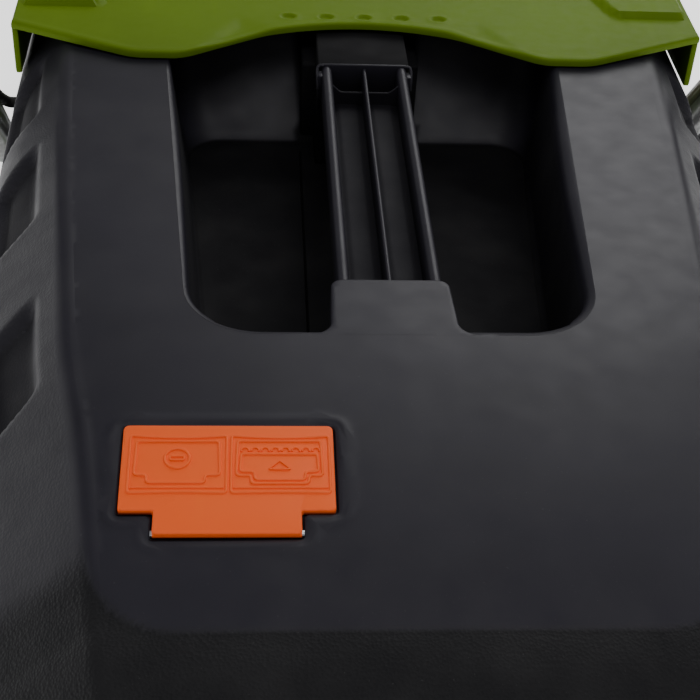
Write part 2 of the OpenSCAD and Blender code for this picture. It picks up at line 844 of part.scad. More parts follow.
module fill_indicator() {
    color(orange) in_collector() on_panel() difference() {
        union() {
            translate([-100.2, 7, 0.4]) cube([73.6, 38, 3]);
            translate([-88, -2.4, 0.4]) cube([49.5, 11, 3]);
            translate([-88, 0, 1.4]) rotate([0, 90, 0]) cylinder(h = 49.5, r = 2.4);
            for (x = [-97, -61]) {
                translate([x, 14, 3]) difference() {
                    cube([32, 27, 1]);
                    translate([1.2, 1.2, -1]) cube([29.6, 24.6, 3]);
                }
            }
        }
        translate([-90, 0, 1.4]) rotate([0, 90, 0]) cylinder(h = 60, r = 1.2 + run);
    }
}

module indicator_pins() {
    color(steel) in_collector() on_panel()
        translate([-89, 0, 1.4]) rotate([0, 90, 0]) cylinder(h = 51.5, r = 1.2);
}

// ---------- handle ----------

function along(p, d) = [0, p.x + d * dir.x, p.y + d * dir.y];

module lower_handle() {
    color(black) difference() {
        union() {
            for (s = [-1, 1]) let (side = [s * handle_x, 0, 0])
                bar(side + along(fold, -16), side + along(joint, 14), tube_r);
            bar_x(-handle_x, handle_x, [along(fold, 390).y, along(fold, 390).z], 9);
        }
        for (s = [-1, 1]) {
            let (side = [s * handle_x, 0, 0])
                bar(side + along(fold, -18), side + along(joint, 16), tube_r - tube_wall);
            bar_x(s * handle_x - 20, s * handle_x + 20, fold, 4 + run);
            bar_x(s * handle_x - 20, s * handle_x + 20, joint, 4 + run);
        }
    }
}

// bolt with a four-lobed knob outside the tubes
module knob_set(at, inner) {
    for (s = [-1, 1]) {
        bar_x(s > 0 ? inner : -handle_x - 13, s > 0 ? handle_x + 13 : -inner, at, 4);
        bar_x(s > 0 ? inner - 4 : -inner, s > 0 ? inner : -inner + 4, at, 8);
        side_plate(s > 0 ? handle_x + 12 : -handle_x - 28, s > 0 ? handle_x + 28 : -handle_x - 12)
            translate(at) union() {
                circle(r = 12);
                for (k = [0 : 3]) rotate(90 * k + 20) translate([13, 0]) circle(r = 6);
            }
    }
}

module lower_knobs() {
    color(black) knob_set(fold, deck_a + 1.6);
}

module upper_knobs() {
    color(black) knob_set(joint, upper_x - tube_r - gap);
}

// U-shaped upper tube, drawn flat and then raised to the handle's angle
module in_handle() {
    translate([0, joint.x, joint.y]) rotate([-handle_angle, 0, 0]) children();
}

module upper_handle() {
    straight = upper_len - bend_r;
    color(black) in_handle() difference() {
        union() {
            for (s = [-1, 1]) {
                translate([s * upper_x, 16, 0]) rotate([90, 0, 0]) cylinder(h = straight + 16, r = tube_r);
                translate([s * (upper_x - bend_r), -straight, 0]) rotate([0, 0, s > 0 ? -90 : 180])
                    rotate_extrude(angle = 90) translate([bend_r, 0]) circle(r = tube_r);
            }
            translate([-upper_x + bend_r, -upper_len, 0]) rotate([0, 90, 0])
                cylinder(h = 2 * (upper_x - bend_r), r = tube_r);
        }
        for (s = [-1, 1]) {
            translate([s * upper_x, 18, 0]) rotate([90, 0, 0])
                cylinder(h = straight + 17, r = tube_r - tube_wall);
            translate([s * upper_x - 20, 0, 0]) rotate([0, 90, 0]) cylinder(h = 40, r = 4 + run);
            translate([s * upper_x - 20, -bail_at, 0]) rotate([0, 90, 0]) cylinder(h = 40, r = 3 + run);
        }
    }
}

bail_at = upper_len - 118;
grip_half = upper_x - bend_r - 4;

module foam_grip() {
    color("#222224") in_handle() translate([-grip_half, -upper_len, 0]) rotate([0, 90, 0]) difference() {
        cylinder(h = 2 * grip_half, r = tube_r + 5);
        translate([0, 0, -1]) cylinder(h = 2 * grip_half + 2, r = tube_r);
    }
}

// switch box hangs on the left-hand tube below the bend
box_at = upper_len - 190;

module switch_side() {
    mirror([1, 0, 0]) children();
}

box_half = 45;

module box_shape(x0, x1, z0, z1, end_wall = 0) {
    translate([x0, end_wall - box_at - box_half, z0]) cube([x1 - x0, 2 * (box_half - end_wall), z1 - z0]);
}

module switch_box() {
    color(charcoal) in_handle() switch_side() difference() {
        box_shape(upper_x - 74, upper_x + 16, 0, 30);
        box_shape(upper_x - 71, upper_x - 12.5, -1, 27, wall);
        translate([upper_x, -box_at + 60, 0]) rotate([90, 0, 0]) cylinder(h = 120, r = tube_r);
        translate([upper_x - 42, -box_at, 0]) cylinder(h = 60, r = 12 + gap);
    }
}

module switch_box_base() {
    color(charcoal) in_handle() switch_side() difference() {
        box_shape(upper_x - 74, upper_x + 16, -26, -gap);
        box_shape(upper_x - 71, upper_x - 12.5, -23, 1, wall);
        translate([upper_x, -box_at + 60, 0]) rotate([90, 0, 0]) cylinder(h = 120, r = tube_r);
        translate([upper_x - 42, -box_at - 40, -13]) rotate([90, 0, 0]) cylinder(h = 20, r = 10);
    }
}

module power_inlet() {
    color(black) in_handle() switch_side()
        translate([upper_x - 42, -box_at - 36, -13]) rotate([90, 0, 0]) difference() {
            union() {
                cylinder(h = 24, r = 9.9);
                translate([0, 0, 9 + run]) cylinder(h = 3, r = 12.4);
            }
            translate([0, 0, 9.5]) cylinder(h = 20, r = 8);
            translate([0, 0, 20]) cylinder(h = 20, r = 8.8);
        }
}

module safety_button() {
    color(orange) in_handle() switch_side() translate([upper_x - 42, -box_at, 0]) {
        translate([0, 0, 25]) cylinder(h = 11, r = 12);
        translate([0, 0, 24.7]) cylinder(h = 2, r = 14);
    }
}

// hook that holds the extension lead's loop
module cable_hook() {
    color(black) in_handle() switch_side() translate([-upper_x, -box_at, 0]) {
        difference() {
            translate([0, 15, 0]) rotate([90, 0, 0]) cylinder(h = 30, r = tube_r + 4);
            translate([0, 20, 0]) rotate([90, 0, 0]) cylinder(h = 40, r = tube_r);
        }
        difference() {
            translate([tube_r + 1, -8, -30]) cube([34, 16, 30]);
            translate([tube_r + 9, -9, -24]) cube([18, 18, 30]);
            translate([tube_r + 20, -9, -16]) cube([30, 18, 30]);
        }
    }
}

// bail: a rod that swings up to the cross bar, on pins inside the side tubes
bail_open = 32;

module bail_lever() {
    reach = 108;
    inner = upper_x - tube_r - 7;
    color(orange) in_handle() translate([0, -bail_at, 0]) {
        for (s = [-1, 1]) translate([s > 0 ? inner : -upper_x - 3, 0, 0])
            rotate([0, 90, 0]) cylinder(h = upper_x + 3 - inner, r = 3);
        rotate([-bail_open, 0, 0]) {
            for (s = [-1, 1]) {
                bar([s * (inner + 2), 0, 0], [s * (inner + 2), -reach, 0], 4.5);
                translate([s * (inner + 2), -reach, 0]) sphere(r = 4.5);
            }
            translate([-inner - 2, -reach, 0]) rotate([0, 90, 0]) cylinder(h = 2 * inner + 4, r = 4.5);
        }
    }
}

// motor lead: from the hood to the bracket, then up the left-hand tubes; at each
// pivot it steps across sideways, so that its two stretches turn past each other
function tube_side(p, d, x, up) = [x, p.x + d * dir.x + up * dir.y, p.y + d * dir.y - up * dir.x];

lead_r = 3.5;
rest_up = tube_r + lead_r + 0.6;
low_cross = [-212, 237];
high_cross = [for (c = [1, 2]) tube_side(joint, 0, 0, 20)[c]];
lead_deck = [[102, -47, 196.5], [116, -51, 196], [130, -58, 192], [146, -72, 188], [160, -94, 187],
    [172, -120, 192], [181, -148, 205], [187, -174, 221], [191.5, -196, 231.5], [197, -209, 236],
    [201.5, low_cross.x, low_cross.y], [204.9, low_cross.x, low_cross.y]];
lead_lower = [[205.2, low_cross.x, low_cross.y], [208.6, low_cross.x, low_cross.y], [212, -215.5, 241],
    tube_side(fold, 36, 213.5, rest_up + 2),
    for (d = [60 : 40 : 380]) tube_side(fold, d, handle_x - 3, rest_up),
    tube_side(joint, -26, handle_x - 4, rest_up + 2), tube_side(joint, -8, handle_x - 6, 19.5),
    [207.6, high_cross.x, high_cross.y], [204.2, high_cross.x, high_cross.y]];
lead_upper = [[203.9, high_cross.x, high_cross.y], [200.5, high_cross.x, high_cross.y],
    tube_side(joint, 8, upper_x + 6, 19.5), tube_side(joint, 26, upper_x + 2, rest_up + 1),
    for (d = [60 : 40 : box_at - 90]) tube_side(joint, d, upper_x - 3, rest_up),
    tube_side(joint, box_at - 62, upper_x - 8, rest_up + 1),
    tube_side(joint, box_at - box_half - 0.1, upper_x - 14, rest_up + 1)];

module motor_lead_deck() {
    color(black) switch_side() sweep(lead_deck, lead_r);
}

module motor_lead_lower() {
    color(black) switch_side() sweep(lead_lower, lead_r);
}

module motor_lead_upper() {
    color(black) switch_side() sweep(lead_upper, lead_r);
}

// ---------- assembly ----------

module placed() {
    translate([0, shift, 0]) children();
}

placed() deck_shell();
placed() discharge_chute();
placed() motor_hood();
placed() hood_vent();
placed() hood_screws();
placed() motor_mount();
placed() motor_stator();
placed() motor_end_bells();
placed() shaft_bearings();
placed() motor_capacitor();
placed() axle_saddles();
placed() height_quadrant();
placed() handle_bracket_left();
placed() handle_bracket_right();
placed() flap_hinge_pin();
placed() flap_spring();
placed() motor_lead_deck();
placed() rotor_shaft();
placed() rotor_core();
placed() cooling_fan();
placed() blade_hub();
placed() blade();
placed() blade_bolt();
placed() rear_axle();
placed() rear_axle_clips();
placed() height_lever();
placed() height_knob();
placed() front_axle();
placed() front_axle_clips();
placed() link_rod();
placed() wheel_rear_left();
placed() tyre_rear_left();
placed() wheel_rear_right();
placed() tyre_rear_right();
placed() wheel_front_left();
placed() tyre_front_left();
placed() wheel_front_right();
placed() tyre_front_right();
placed() rear_flap();
placed() flap_screws();
placed() collector_top();
placed() collector_tub();
placed() collector_mouth();
placed() collector_clips();
placed() carry_handle();
placed() fill_indicator();
placed() indicator_pins();
placed() lower_handle();
placed() lower_knobs();
placed() upper_handle();
placed() upper_knobs();
placed() foam_grip();
placed() switch_box();
placed() switch_box_base();
placed() power_inlet();
placed() cable_hook();
placed() motor_lead_lower();
placed() motor_lead_upper();
placed() bail_lever();
placed() safety_button();
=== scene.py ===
"""Looks of the push lawn mower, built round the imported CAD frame.

Most pieces are finer meshes that stand for a CAD node. The collector, its handle,
its indicator and the rear flap are drawn in collector coordinates: millimetres,
with the origin at the tip of the tongue, on the level top panel.
"""
import json
import math

import bmesh
import bpy
import numpy as np
from mathutils import Matrix, Vector
from mathutils.geometry import delaunay_2d_cdt


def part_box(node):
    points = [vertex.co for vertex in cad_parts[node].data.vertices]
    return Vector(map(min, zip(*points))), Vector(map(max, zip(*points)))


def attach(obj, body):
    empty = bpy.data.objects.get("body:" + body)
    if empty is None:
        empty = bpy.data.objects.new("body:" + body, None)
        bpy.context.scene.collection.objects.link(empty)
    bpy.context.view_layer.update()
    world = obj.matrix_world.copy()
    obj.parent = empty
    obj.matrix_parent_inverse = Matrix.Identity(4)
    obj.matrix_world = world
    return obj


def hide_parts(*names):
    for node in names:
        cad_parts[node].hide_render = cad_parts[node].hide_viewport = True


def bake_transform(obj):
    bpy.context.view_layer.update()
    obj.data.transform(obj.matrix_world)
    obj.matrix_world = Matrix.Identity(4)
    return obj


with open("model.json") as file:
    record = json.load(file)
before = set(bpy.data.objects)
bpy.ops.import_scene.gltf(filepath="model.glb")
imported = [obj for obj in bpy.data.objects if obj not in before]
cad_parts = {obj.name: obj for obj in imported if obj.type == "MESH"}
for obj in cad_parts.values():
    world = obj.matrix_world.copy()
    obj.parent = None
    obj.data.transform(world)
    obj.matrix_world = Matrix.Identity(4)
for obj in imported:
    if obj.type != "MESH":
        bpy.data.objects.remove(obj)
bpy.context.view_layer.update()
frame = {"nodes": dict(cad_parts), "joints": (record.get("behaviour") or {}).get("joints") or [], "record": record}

MM = 0.001
JOINTS = {joint["name"]: joint for joint in frame["joints"]}
NODE_SLOT = {part["node"]: part["material_slot"] for part in frame["record"]["subparts"]}
BODIES = frame["record"]["behaviour"]["bodies"]
NODE_BODY = {node: body for body, nodes in BODIES.items() for node in nodes}

# collector coordinates hang from the flap's hinge, whose place in them this is
HINGE_Y = 407.0
HINGE_Z = -2.0
ORIGIN = Vector(JOINTS["flap_lift"]["pos_m"]) - Vector((0, HINGE_Y, HINGE_Z)) * MM
COLLECTOR = Matrix.Translation(ORIGIN) @ Matrix.Diagonal((MM, MM, MM, 1))


# ---------- materials ----------

class Shader:
    """A Principled material whose detail comes from noise in the piece's own coordinates."""

    def __init__(self, name, rough, metallic=0.0, specular=0.5, coat=0.0):
        self.material = bpy.data.materials.new(name)
        self.material.use_nodes = True
        self.tree = self.material.node_tree
        self.surface = self.tree.nodes["Principled BSDF"]
        self.surface.inputs["Metallic"].default_value = metallic
        self.surface.inputs["Roughness"].default_value = rough
        self.surface.inputs["Specular IOR Level"].default_value = specular
        self.surface.inputs["Coat Weight"].default_value = coat
        self.place = self.tree.nodes.new("ShaderNodeTexCoord").outputs["Object"]
        self.normal = None

    def node(self, kind, **inputs):
        made = self.tree.nodes.new(kind)
        for key, value in inputs.items():
            made.inputs[key.replace("_", " ")].default_value = value
        return made

    def link(self, a, b):
        self.tree.links.new(a, b)

    def stretched(self, scale):
        made = self.node("ShaderNodeMapping", Scale=scale)
        self.link(self.place, made.inputs["Vector"])
        return made.outputs["Vector"]

    def noise(self, size_mm, detail=3.0, place=None, distortion=0.0):
        made = self.node("ShaderNodeTexNoise", Scale=1000.0 / size_mm, Detail=detail, Distortion=distortion)
        self.link(place or self.place, made.inputs["Vector"])
        return made.outputs["Fac"]

    def cells(self, size_mm, feature="F1", place=None):
        made = self.node("ShaderNodeTexVoronoi", Scale=1000.0 / size_mm)
        made.feature = feature
        self.link(place or self.place, made.inputs["Vector"])
        return made.outputs["Distance"]

    def remap(self, value, low, high, to_low, to_high):
        made = self.node("ShaderNodeMapRange")
        for key, number in (("From Min", low), ("From Max", high), ("To Min", to_low), ("To Max", to_high)):
            made.inputs[key].default_value = number
        self.link(value, made.inputs["Value"])
        return made.outputs["Result"]

    def mix(self, share, a, b):
        made = self.tree.nodes.new("ShaderNodeMix")
        made.data_type = "RGBA"
        if isinstance(share, float):
            made.inputs["Factor"].default_value = share
        else:
            self.link(share, made.inputs["Factor"])
        for colour, socket in ((a, made.inputs["A"]), (b, made.inputs["B"])):
            if isinstance(colour, tuple):
                socket.default_value = (*colour, 1.0)
            else:
                self.link(colour, socket)
        return made.outputs["Result"]

    def product(self, a, b):
        made = self.tree.nodes.new("ShaderNodeMath")
        made.operation = "MULTIPLY"
        self.link(a, made.inputs[0])
        self.link(b, made.inputs[1])
        return made.outputs["Value"]

    def raised(self, value, factor, base):
        """The base with the value's share of the factor added."""
        made = self.tree.nodes.new("ShaderNodeMath")
        made.operation = "MULTIPLY_ADD"
        made.inputs[1].default_value = factor
        self.link(value, made.inputs[0])
        self.link(base, made.inputs[2])
        return made.outputs["Value"]

    def attribute(self, name):
        made = self.tree.nodes.new("ShaderNodeAttribute")
        made.attribute_name = name
        return made.outputs["Fac"]

    def bump(self, height, depth_mm, strength=1.0):
        made = self.node("ShaderNodeBump", Strength=strength, Distance=depth_mm * MM)
        self.link(height, made.inputs["Height"])
        if self.normal is not None:
            self.link(self.normal, made.inputs["Normal"])
        self.normal = made.outputs["Normal"]

    def done(self, colour, rough=None):
        self.link(colour, self.surface.inputs["Base Color"])
        if rough is not None:
            self.link(rough, self.surface.inputs["Roughness"])
        if self.normal is not None:
            self.link(self.normal, self.surface.inputs["Normal"])
        return self.material


def shade(colour, factor):
    return tuple(min(1.0, channel * factor) for channel in colour)


def dust(shader, colour, amount):
    """Pale specks and a faint film that lie on moulded plastic."""
    specks = shader.remap(shader.noise(1.1, 2.0), 0.70, 0.78, 0.0, amount)
    film = shader.remap(shader.noise(34.0, 4.0), 0.45, 0.75, 0.0, amount * 0.35)
    pale = (0.42, 0.41, 0.40)
    return shader.mix(film, shader.mix(specks, colour, pale), pale)


def plastic(name, colour, rough=0.42, grain_mm=0.7, grain_depth=0.03, blotch=0.10, dusty=0.05, specular=0.45):
    """Moulded plastic: broad tone changes, a fine spark-eroded grain, faint rub marks and specks."""
    s = Shader(name, rough, specular=specular)
    broad = s.remap(s.noise(60.0, 4.0, distortion=0.6), 0.3, 0.7, 0.0, 1.0)
    tone = s.mix(broad, shade(colour, 1 - blotch), shade(colour, 1 + blotch))
    rubs = s.noise(9.0, 5.0, place=s.stretched((1.0, 0.18, 1.0)))
    tone = s.mix(s.remap(rubs, 0.55, 0.8, 0.0, 0.22), tone, shade(colour, 1.35))
    tone = dust(s, tone, dusty)
    s.bump(s.noise(grain_mm, 3.0), grain_depth, 0.6)
    s.bump(s.noise(22.0, 2.0), 0.12, 0.25)
    rubbed = s.remap(s.noise(6.0, 4.0), 0.3, 0.7, rough - 0.05, rough + 0.07)
    return s.done(tone, rubbed)


def panel_plastic(name, colour, rear_colour):
    """Collector plastic: a satin panel, grained where the mesh says grain, and darkened with painted shade, and
    rougher, where the mesh marks the recesses, the post and the well's depth.
    """
    s = Shader(name, 0.4, specular=0.21)
    broad = s.remap(s.noise(85.0, 4.0, distortion=0.8), 0.3, 0.7, 0.0, 1.0)
    tone = s.mix(broad, shade(colour, 0.93), shade(colour, 1.07))
    rubs = s.noise(7.0, 5.0, place=s.stretched((0.25, 1.0, 1.0)))
    tone = s.mix(s.remap(rubs, 0.58, 0.85, 0.0, 0.16), tone, shade(colour, 1.4))
    grain = s.attribute("grain")
    tone = s.mix(grain, tone, rear_colour)
    # painted shade: the colour goes far darker in the side recesses, on the post and down the well
    painted_shade = s.attribute("painted_shade")
    tone = s.mix(painted_shade, tone, shade(colour, 0.17))
    tone = dust(s, tone, 0.045)
    s.bump(s.noise(0.55, 2.0), 0.02, 0.5)
    s.bump(s.product(s.cells(1.2), grain), 0.35, 0.9)
    s.bump(s.noise(30.0, 2.0), 0.05, 0.1)
    rubbed = s.remap(s.noise(12.0, 4.0), 0.3, 0.7, 0.36, 0.44)
    return s.done(tone, s.raised(painted_shade, 0.45, s.raised(grain, 0.3, rubbed)))


def metal(name, colour, rough=0.32, lay=(1.0, 1.0, 0.06), spangle=0.0, stain=(0.25, 0.22, 0.19), stained=0.1):
    """Plated or bare steel: drawn lines along the lay, plating spangle and a little tarnish."""
    s = Shader(name, rough, metallic=1.0)
    lines = s.noise(0.6, 4.0, place=s.stretched(lay))
    tone = s.mix(lines, shade(colour, 0.84), shade(colour, 1.08))
    if spangle > 0:
        tone = s.mix(s.remap(s.cells(4.0), 0.0, 0.8, 0.0, spangle), tone, shade(colour, 0.72))
    tone = s.mix(s.remap(s.noise(14.0, 5.0), 0.56, 0.78, 0.0, stained), tone, stain)
    s.bump(lines, 0.012, 0.5)
    return s.done(tone, s.remap(s.noise(5.0, 4.0), 0.3, 0.7, rough - 0.07, rough + 0.12))


def painted(name, colour, rough=0.38):
    """Powder coat: orange peel with small chips that show brighter metal."""
    s = Shader(name, rough, specular=0.5, coat=0.15)
    tone = s.mix(s.noise(30.0, 3.0), shade(colour, 0.85), shade(colour, 1.2))
    tone = s.mix(s.remap(s.noise(2.2, 3.0), 0.76, 0.79, 0.0, 0.5), tone, (0.22, 0.22, 0.22))
    s.bump(s.noise(1.3, 1.0), 0.05, 0.5)
    return s.done(tone, s.remap(s.noise(8.0, 3.0), 0.3, 0.7, rough - 0.04, rough + 0.06))


def rubber(name, colour, rough=0.75, grain_mm=0.9):
    """Rubber with grey scuffing and dried soil in its broad patches."""
    s = Shader(name, rough, specular=0.3)
    tone = s.mix(s.noise(18.0, 4.0), shade(colour, 0.8), shade(colour, 1.4))
    tone = s.mix(s.remap(s.noise(11.0, 6.0), 0.56, 0.75, 0.0, 0.35), tone, (0.075, 0.068, 0.055))
    s.bump(s.noise(grain_mm, 3.0), 0.06, 0.7)
    return s.done(tone, s.remap(s.noise(4.0, 3.0), 0.3, 0.7, rough - 0.06, rough + 0.1))


def foam(name, colour):
    """Closed-cell foam: tiny pores between soft dimples, with painted shade in the pores and a painted highlight
    on the foam between them.
    """
    s = Shader(name, 0.88, specular=0.2)
    # painted shade in the pore hollows and painted highlight on the rises between them
    tone = s.mix(s.remap(s.cells(1.4), 0.0, 0.7, 0.0, 1.0), shade(colour, 0.55), shade(colour, 1.5))
    s.bump(s.cells(1.4), 0.35, 0.8)
    s.bump(s.noise(7.0, 3.0), 0.5, 0.35)
    return s.done(tone)


CHARCOAL = (0.0190, 0.0178, 0.0250)
FINISHES = {
    "deck_green": plastic("deck_green", (0.115, 0.215, 0.018), 0.34, 0.9, 0.025),
    "chute_black": plastic("chute_black", (0.014, 0.014, 0.016), 0.48, 1.0, 0.05),
    "hood_charcoal": plastic("hood_charcoal", CHARCOAL, 0.42, 0.7, 0.035),
    "collector_charcoal": panel_plastic("collector_charcoal", CHARCOAL, (0.0065, 0.0065, 0.0078)),
    "tub_black": plastic("tub_black", (0.013, 0.013, 0.015), 0.55, 1.5, 0.12),
    "flap_green": plastic("flap_green", (0.110, 0.185, 0.008), 0.45, 0.8, 0.02, 0.05, 0.0, 0.06),
    "indicator_orange": plastic("indicator_orange", (1.0, 0.128, 0.018), 0.45, 0.5, 0.012, 0.03, 0.0, 0.2),
    "accent_orange": plastic("accent_orange", (0.72, 0.11, 0.02), 0.36, 0.6, 0.02, 0.06, 0.02),
    "zinc_steel": metal("zinc_steel", (0.60, 0.61, 0.63), 0.33, spangle=0.5),
    "motor_steel": metal("motor_steel", (0.36, 0.36, 0.38), 0.5, lay=(1.0, 1.0, 4.0), stained=0.3),
    "bearing_steel": metal("bearing_steel", (0.68, 0.68, 0.70), 0.18, stained=0.03),
    "blade_steel": metal("blade_steel", (0.20, 0.20, 0.21), 0.42, lay=(1.0, 0.06, 1.0), stained=0.35),
    "tube_black": painted("tube_black", (0.018, 0.018, 0.020)),
    "wheel_plastic": plastic("wheel_plastic", (0.026, 0.026, 0.028), 0.50, 1.0, 0.05, dusty=0.08),
    "tyre_rubber": rubber("tyre_rubber", (0.012, 0.012, 0.013)),
    "foam_black": foam("foam_black", (0.018, 0.018, 0.019)),
    "lead_black": rubber("lead_black", (0.012, 0.012, 0.013), 0.6, 0.6),
    "capacitor_white": plastic("capacitor_white", (0.62, 0.62, 0.59), 0.4, 0.8, 0.02),
}


# ---------- making pieces ----------

def show(made):
    """Puts an object into the scene."""
    bpy.context.scene.collection.objects.link(made)
    return made


def piece(name, mesh, slot, body, replaced=(), sharp_deg=32):
    """Puts a finished mesh into the scene as a piece that rides on a body."""
    mesh.materials.clear()
    mesh.materials.append(FINISHES[slot])
    mesh.shade_smooth()
    mesh.set_sharp_from_angle(angle=math.radians(sharp_deg))
    made = show(bpy.data.objects.new(name, mesh))
    if body:
        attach(made, body)
    if replaced:
        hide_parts(*replaced)
    return made


def welded(mesh, reach_mm=0.0):
    """The same mesh with near points merged and its faces turned the same way."""
    b = bmesh.new()
    b.from_mesh(mesh)
    if reach_mm > 0:
        bmesh.ops.remove_doubles(b, verts=b.verts, dist=reach_mm * MM)
    bmesh.ops.recalc_face_normals(b, faces=b.faces)
    b.to_mesh(mesh)
    b.free()
    return mesh


def mesh_from(name, points, faces, place=COLLECTOR, weld_mm=0.0):
    """A mesh from points in the given place's units."""
    mesh = bpy.data.meshes.new(name)
    mesh.from_pydata([place @ Vector(p) for p in points], [], faces)
    return welded(mesh, weld_mm)


def joined(name, meshes):
    """One mesh from several that share a place."""
    b = bmesh.new()
    for mesh in meshes:
        b.from_mesh(mesh)
        bpy.data.meshes.remove(mesh)
    mesh = bpy.data.meshes.new(name)
    b.to_mesh(mesh)
    b.free()
    return mesh


def bevelled(mesh, width_mm, segments=2, angle_deg=35):
    """The same mesh with its sharp edges rounded."""
    holder = show(bpy.data.objects.new("holder", mesh))
    bevel = holder.modifiers.new("bevel", "BEVEL")
    bevel.width = width_mm * MM
    bevel.segments = segments
    bevel.limit_method = "ANGLE"
    bevel.angle_limit = math.radians(angle_deg)
    bevel.use_clamp_overlap = True
    bpy.context.view_layer.update()
    rounded = bpy.data.meshes.new_from_object(holder.evaluated_get(bpy.context.evaluated_depsgraph_get()))
    rounded.name = mesh.name
    bpy.data.objects.remove(holder)
    return rounded


def refined(node, bevel_mm):
    """A CAD node's own shape, welded, cleaned and with its moulded or broken edges rounded."""
    b = bmesh.new()
    b.from_mesh(frame["nodes"][node].data)
    bmesh.ops.remove_doubles(b, verts=b.verts, dist=0.01 * MM)
    bmesh.ops.dissolve_limit(b, angle_limit=math.radians(0.8), verts=b.verts, edges=b.edges)
    mesh = bpy.data.meshes.new(node)
    b.to_mesh(mesh)
    b.free()
    piece(node + ".fine", bevelled(mesh, bevel_mm), NODE_SLOT[node], NODE_BODY[node], [node])


def arc(cx, cy, radius, start_deg, end_deg, steps):
    """Points on a round corner."""
    angles = [math.radians(start_deg + (end_deg - start_deg) * i / steps) for i in range(steps + 1)]
    return [(cx + radius * math.cos(a), cy + radius * math.sin(a)) for a in angles]


def grid_faces(rows, columns, first=0):
    """Faces of a grid of points that are stored row by row."""
    return [(a, a + 1, a + columns + 1, a + columns)
            for k in range(rows - 1) for a in range(first + k * columns, first + (k + 1) * columns - 1)]


def rings_mesh(name, rings, place=COLLECTOR, capped=True, weld_mm=0.0):
    """A skin through rings of the same number of points."""
    n = len(rings[0])
    points = [p for ring in rings for p in ring]
    faces = []
    for k in range(len(rings) - 1):
        for i in range(n):
            j = (i + 1) % n
            faces.append((k * n + i, k * n + j, (k + 1) * n + j, (k + 1) * n + i))
    if capped:
        faces.append(tuple(range(n)))
        faces.append(tuple(range((len(rings) - 1) * n, len(rings) * n)))
    return mesh_from(name, points, faces, place, weld_mm)


def triangles(points, edges, keep):
    """Triangles over points in plan, bound to the edges; keep() picks them by the place of their middle."""
    flat, _, faces, _, _, _ = delaunay_2d_cdt(points, edges, [], 0, PLAN_REACH)
    kept = []
    for face in faces:
        x = sum(flat[i].x for i in face) / len(face)
        y = sum(flat[i].y for i in face) / len(face)
        if keep(x, y):
            kept.append(tuple(face))
    return flat, kept


def box_mesh(name, low, high, bevel_mm, segments=2):
    """A block with rounded edges."""
    plan = ((low[0], low[1]), (high[0], low[1]), (high[0], high[1]), (low[0], high[1]))
    rings = [[(x, y, z) for x, y in plan] for z in (low[2], high[2])]
    return bevelled(rings_mesh(name, rings), bevel_mm, segments)


def swept(name, path, radius, place, sides=14):
    """A tube along points; radius may be a function of the share of the way."""
    path = [Vector(p) for p in path]
    rings = []
    side = None
    for k, p in enumerate(path):
        ahead = (path[min(k + 1, len(path) - 1)] - path[max(k - 1, 0)]).normalized()
        if side is None:
            side = ahead.cross(Vector((0, 0, 1))).normalized()
        side = (side - ahead * side.dot(ahead)).normalized()
        top = side.cross(ahead).normalized()
        r = radius(k / (len(path) - 1)) if callable(radius) else radius
        rings.append([p + side * (r * math.cos(a)) + top * (r * math.sin(a))
                      for a in [2 * math.pi * i / sides for i in range(sides)]])
    return rings_mesh(name, rings, place)


def smooth_path(points, steps=8):
    """A Catmull-Rom curve through chosen points."""
    points = [Vector(p) for p in points]
    ends = [points[0] * 2 - points[1], *points, points[-1] * 2 - points[-2]]
    path = []
    for k in range(1, len(ends) - 2):
        a, b, c, d = ends[k - 1:k + 3]
        for i in range(steps):
            t = i / steps
            path.append(0.5 * (b * 2 + (c - a) * t + (a * 2 - b * 5 + c * 4 - d) * t * t
                               + (b * 3 - a - c * 3 + d) * t ** 3))
    path.append(points[-1])
    return path


def ease(t):
    """Runs smoothly from 0 to 1."""
    t = min(1.0, max(0.0, t))
    return t * t * (3 - 2 * t)


# ---------- collector top ----------

# half widths of the top panel at places along Y
CREASE = ((-215, 96), (-165, 106), (-90, 116), (-46, 125), (58, 136.5), (104, 141), (180, 148), (400, 151))
CREASE_SET_BACK = 4.5
PANEL_CORNER = 30.0
PANEL_CROWN = 0.9
PANEL_STEP = 0.8
# the panel is level up to LEVEL_END, falls away behind it and rounds over into the rear wall
LEVEL_END = -30.0
FALL = 0.00088
REAR_CREASE = -165.0
REAR_ROUND = (50.0, 59.0)
ROUND_LENGTH = 85.9
WALL_START = REAR_CREASE - ROUND_LENGTH
# the sides: a sloping band from the crease to the shoulder, then an upright wall
BAND_ANGLE = math.radians(42)
BAND_LEAST = 12.0
SHOULDER = 178.0
SHOULDER_ROUND = 22.0
REAR_CORNER = 65.0
REAR_CORNER_Y = -150.0
WALL_LEAST = 14.0
LOW_EDGE = -95.0
# the front stretch ends at the slanted mouth
FRONT_START = 245.0
MOUTH_Y = 391.0
MOUTH_LEAN = 0.4495
SKIN = 2.8
WELD = 0.03
PLAN_REACH = 1e-4
# the well and the indicator's recess
WELL_DEPTH = 58.0
LIP_TALL = 0.42
LIP_OUT = 3.2
LIP_WIDE = 1.3
RECESS_DROP = 6.4


def profile(s):
    """Y and Z of the top along the middle, for a distance s measured along the surface."""
    if s >= LEVEL_END:
        return s, 0.0
    if s >= REAR_CREASE:
        return s, -FALL * (LEVEL_END - s) ** 2
    if s >= WALL_START:
        a = (REAR_CREASE - s) / ROUND_LENGTH * math.pi / 2
        z_start = -FALL * (LEVEL_END - REAR_CREASE) ** 2
        return REAR_CREASE - REAR_ROUND[0] * math.sin(a), z_start - REAR_ROUND[1] * (1 - math.cos(a))
    y, z = profile(WALL_START)
    return y, z - (WALL_START - s)


def crease(y):
    """Half width of the top panel, as a gently smoothed line through its measured widths."""
    ys, widths = zip(*CREASE)
    return float(np.mean(np.interp([y - 16, y - 8, y, y + 8, y + 16], ys, widths)))


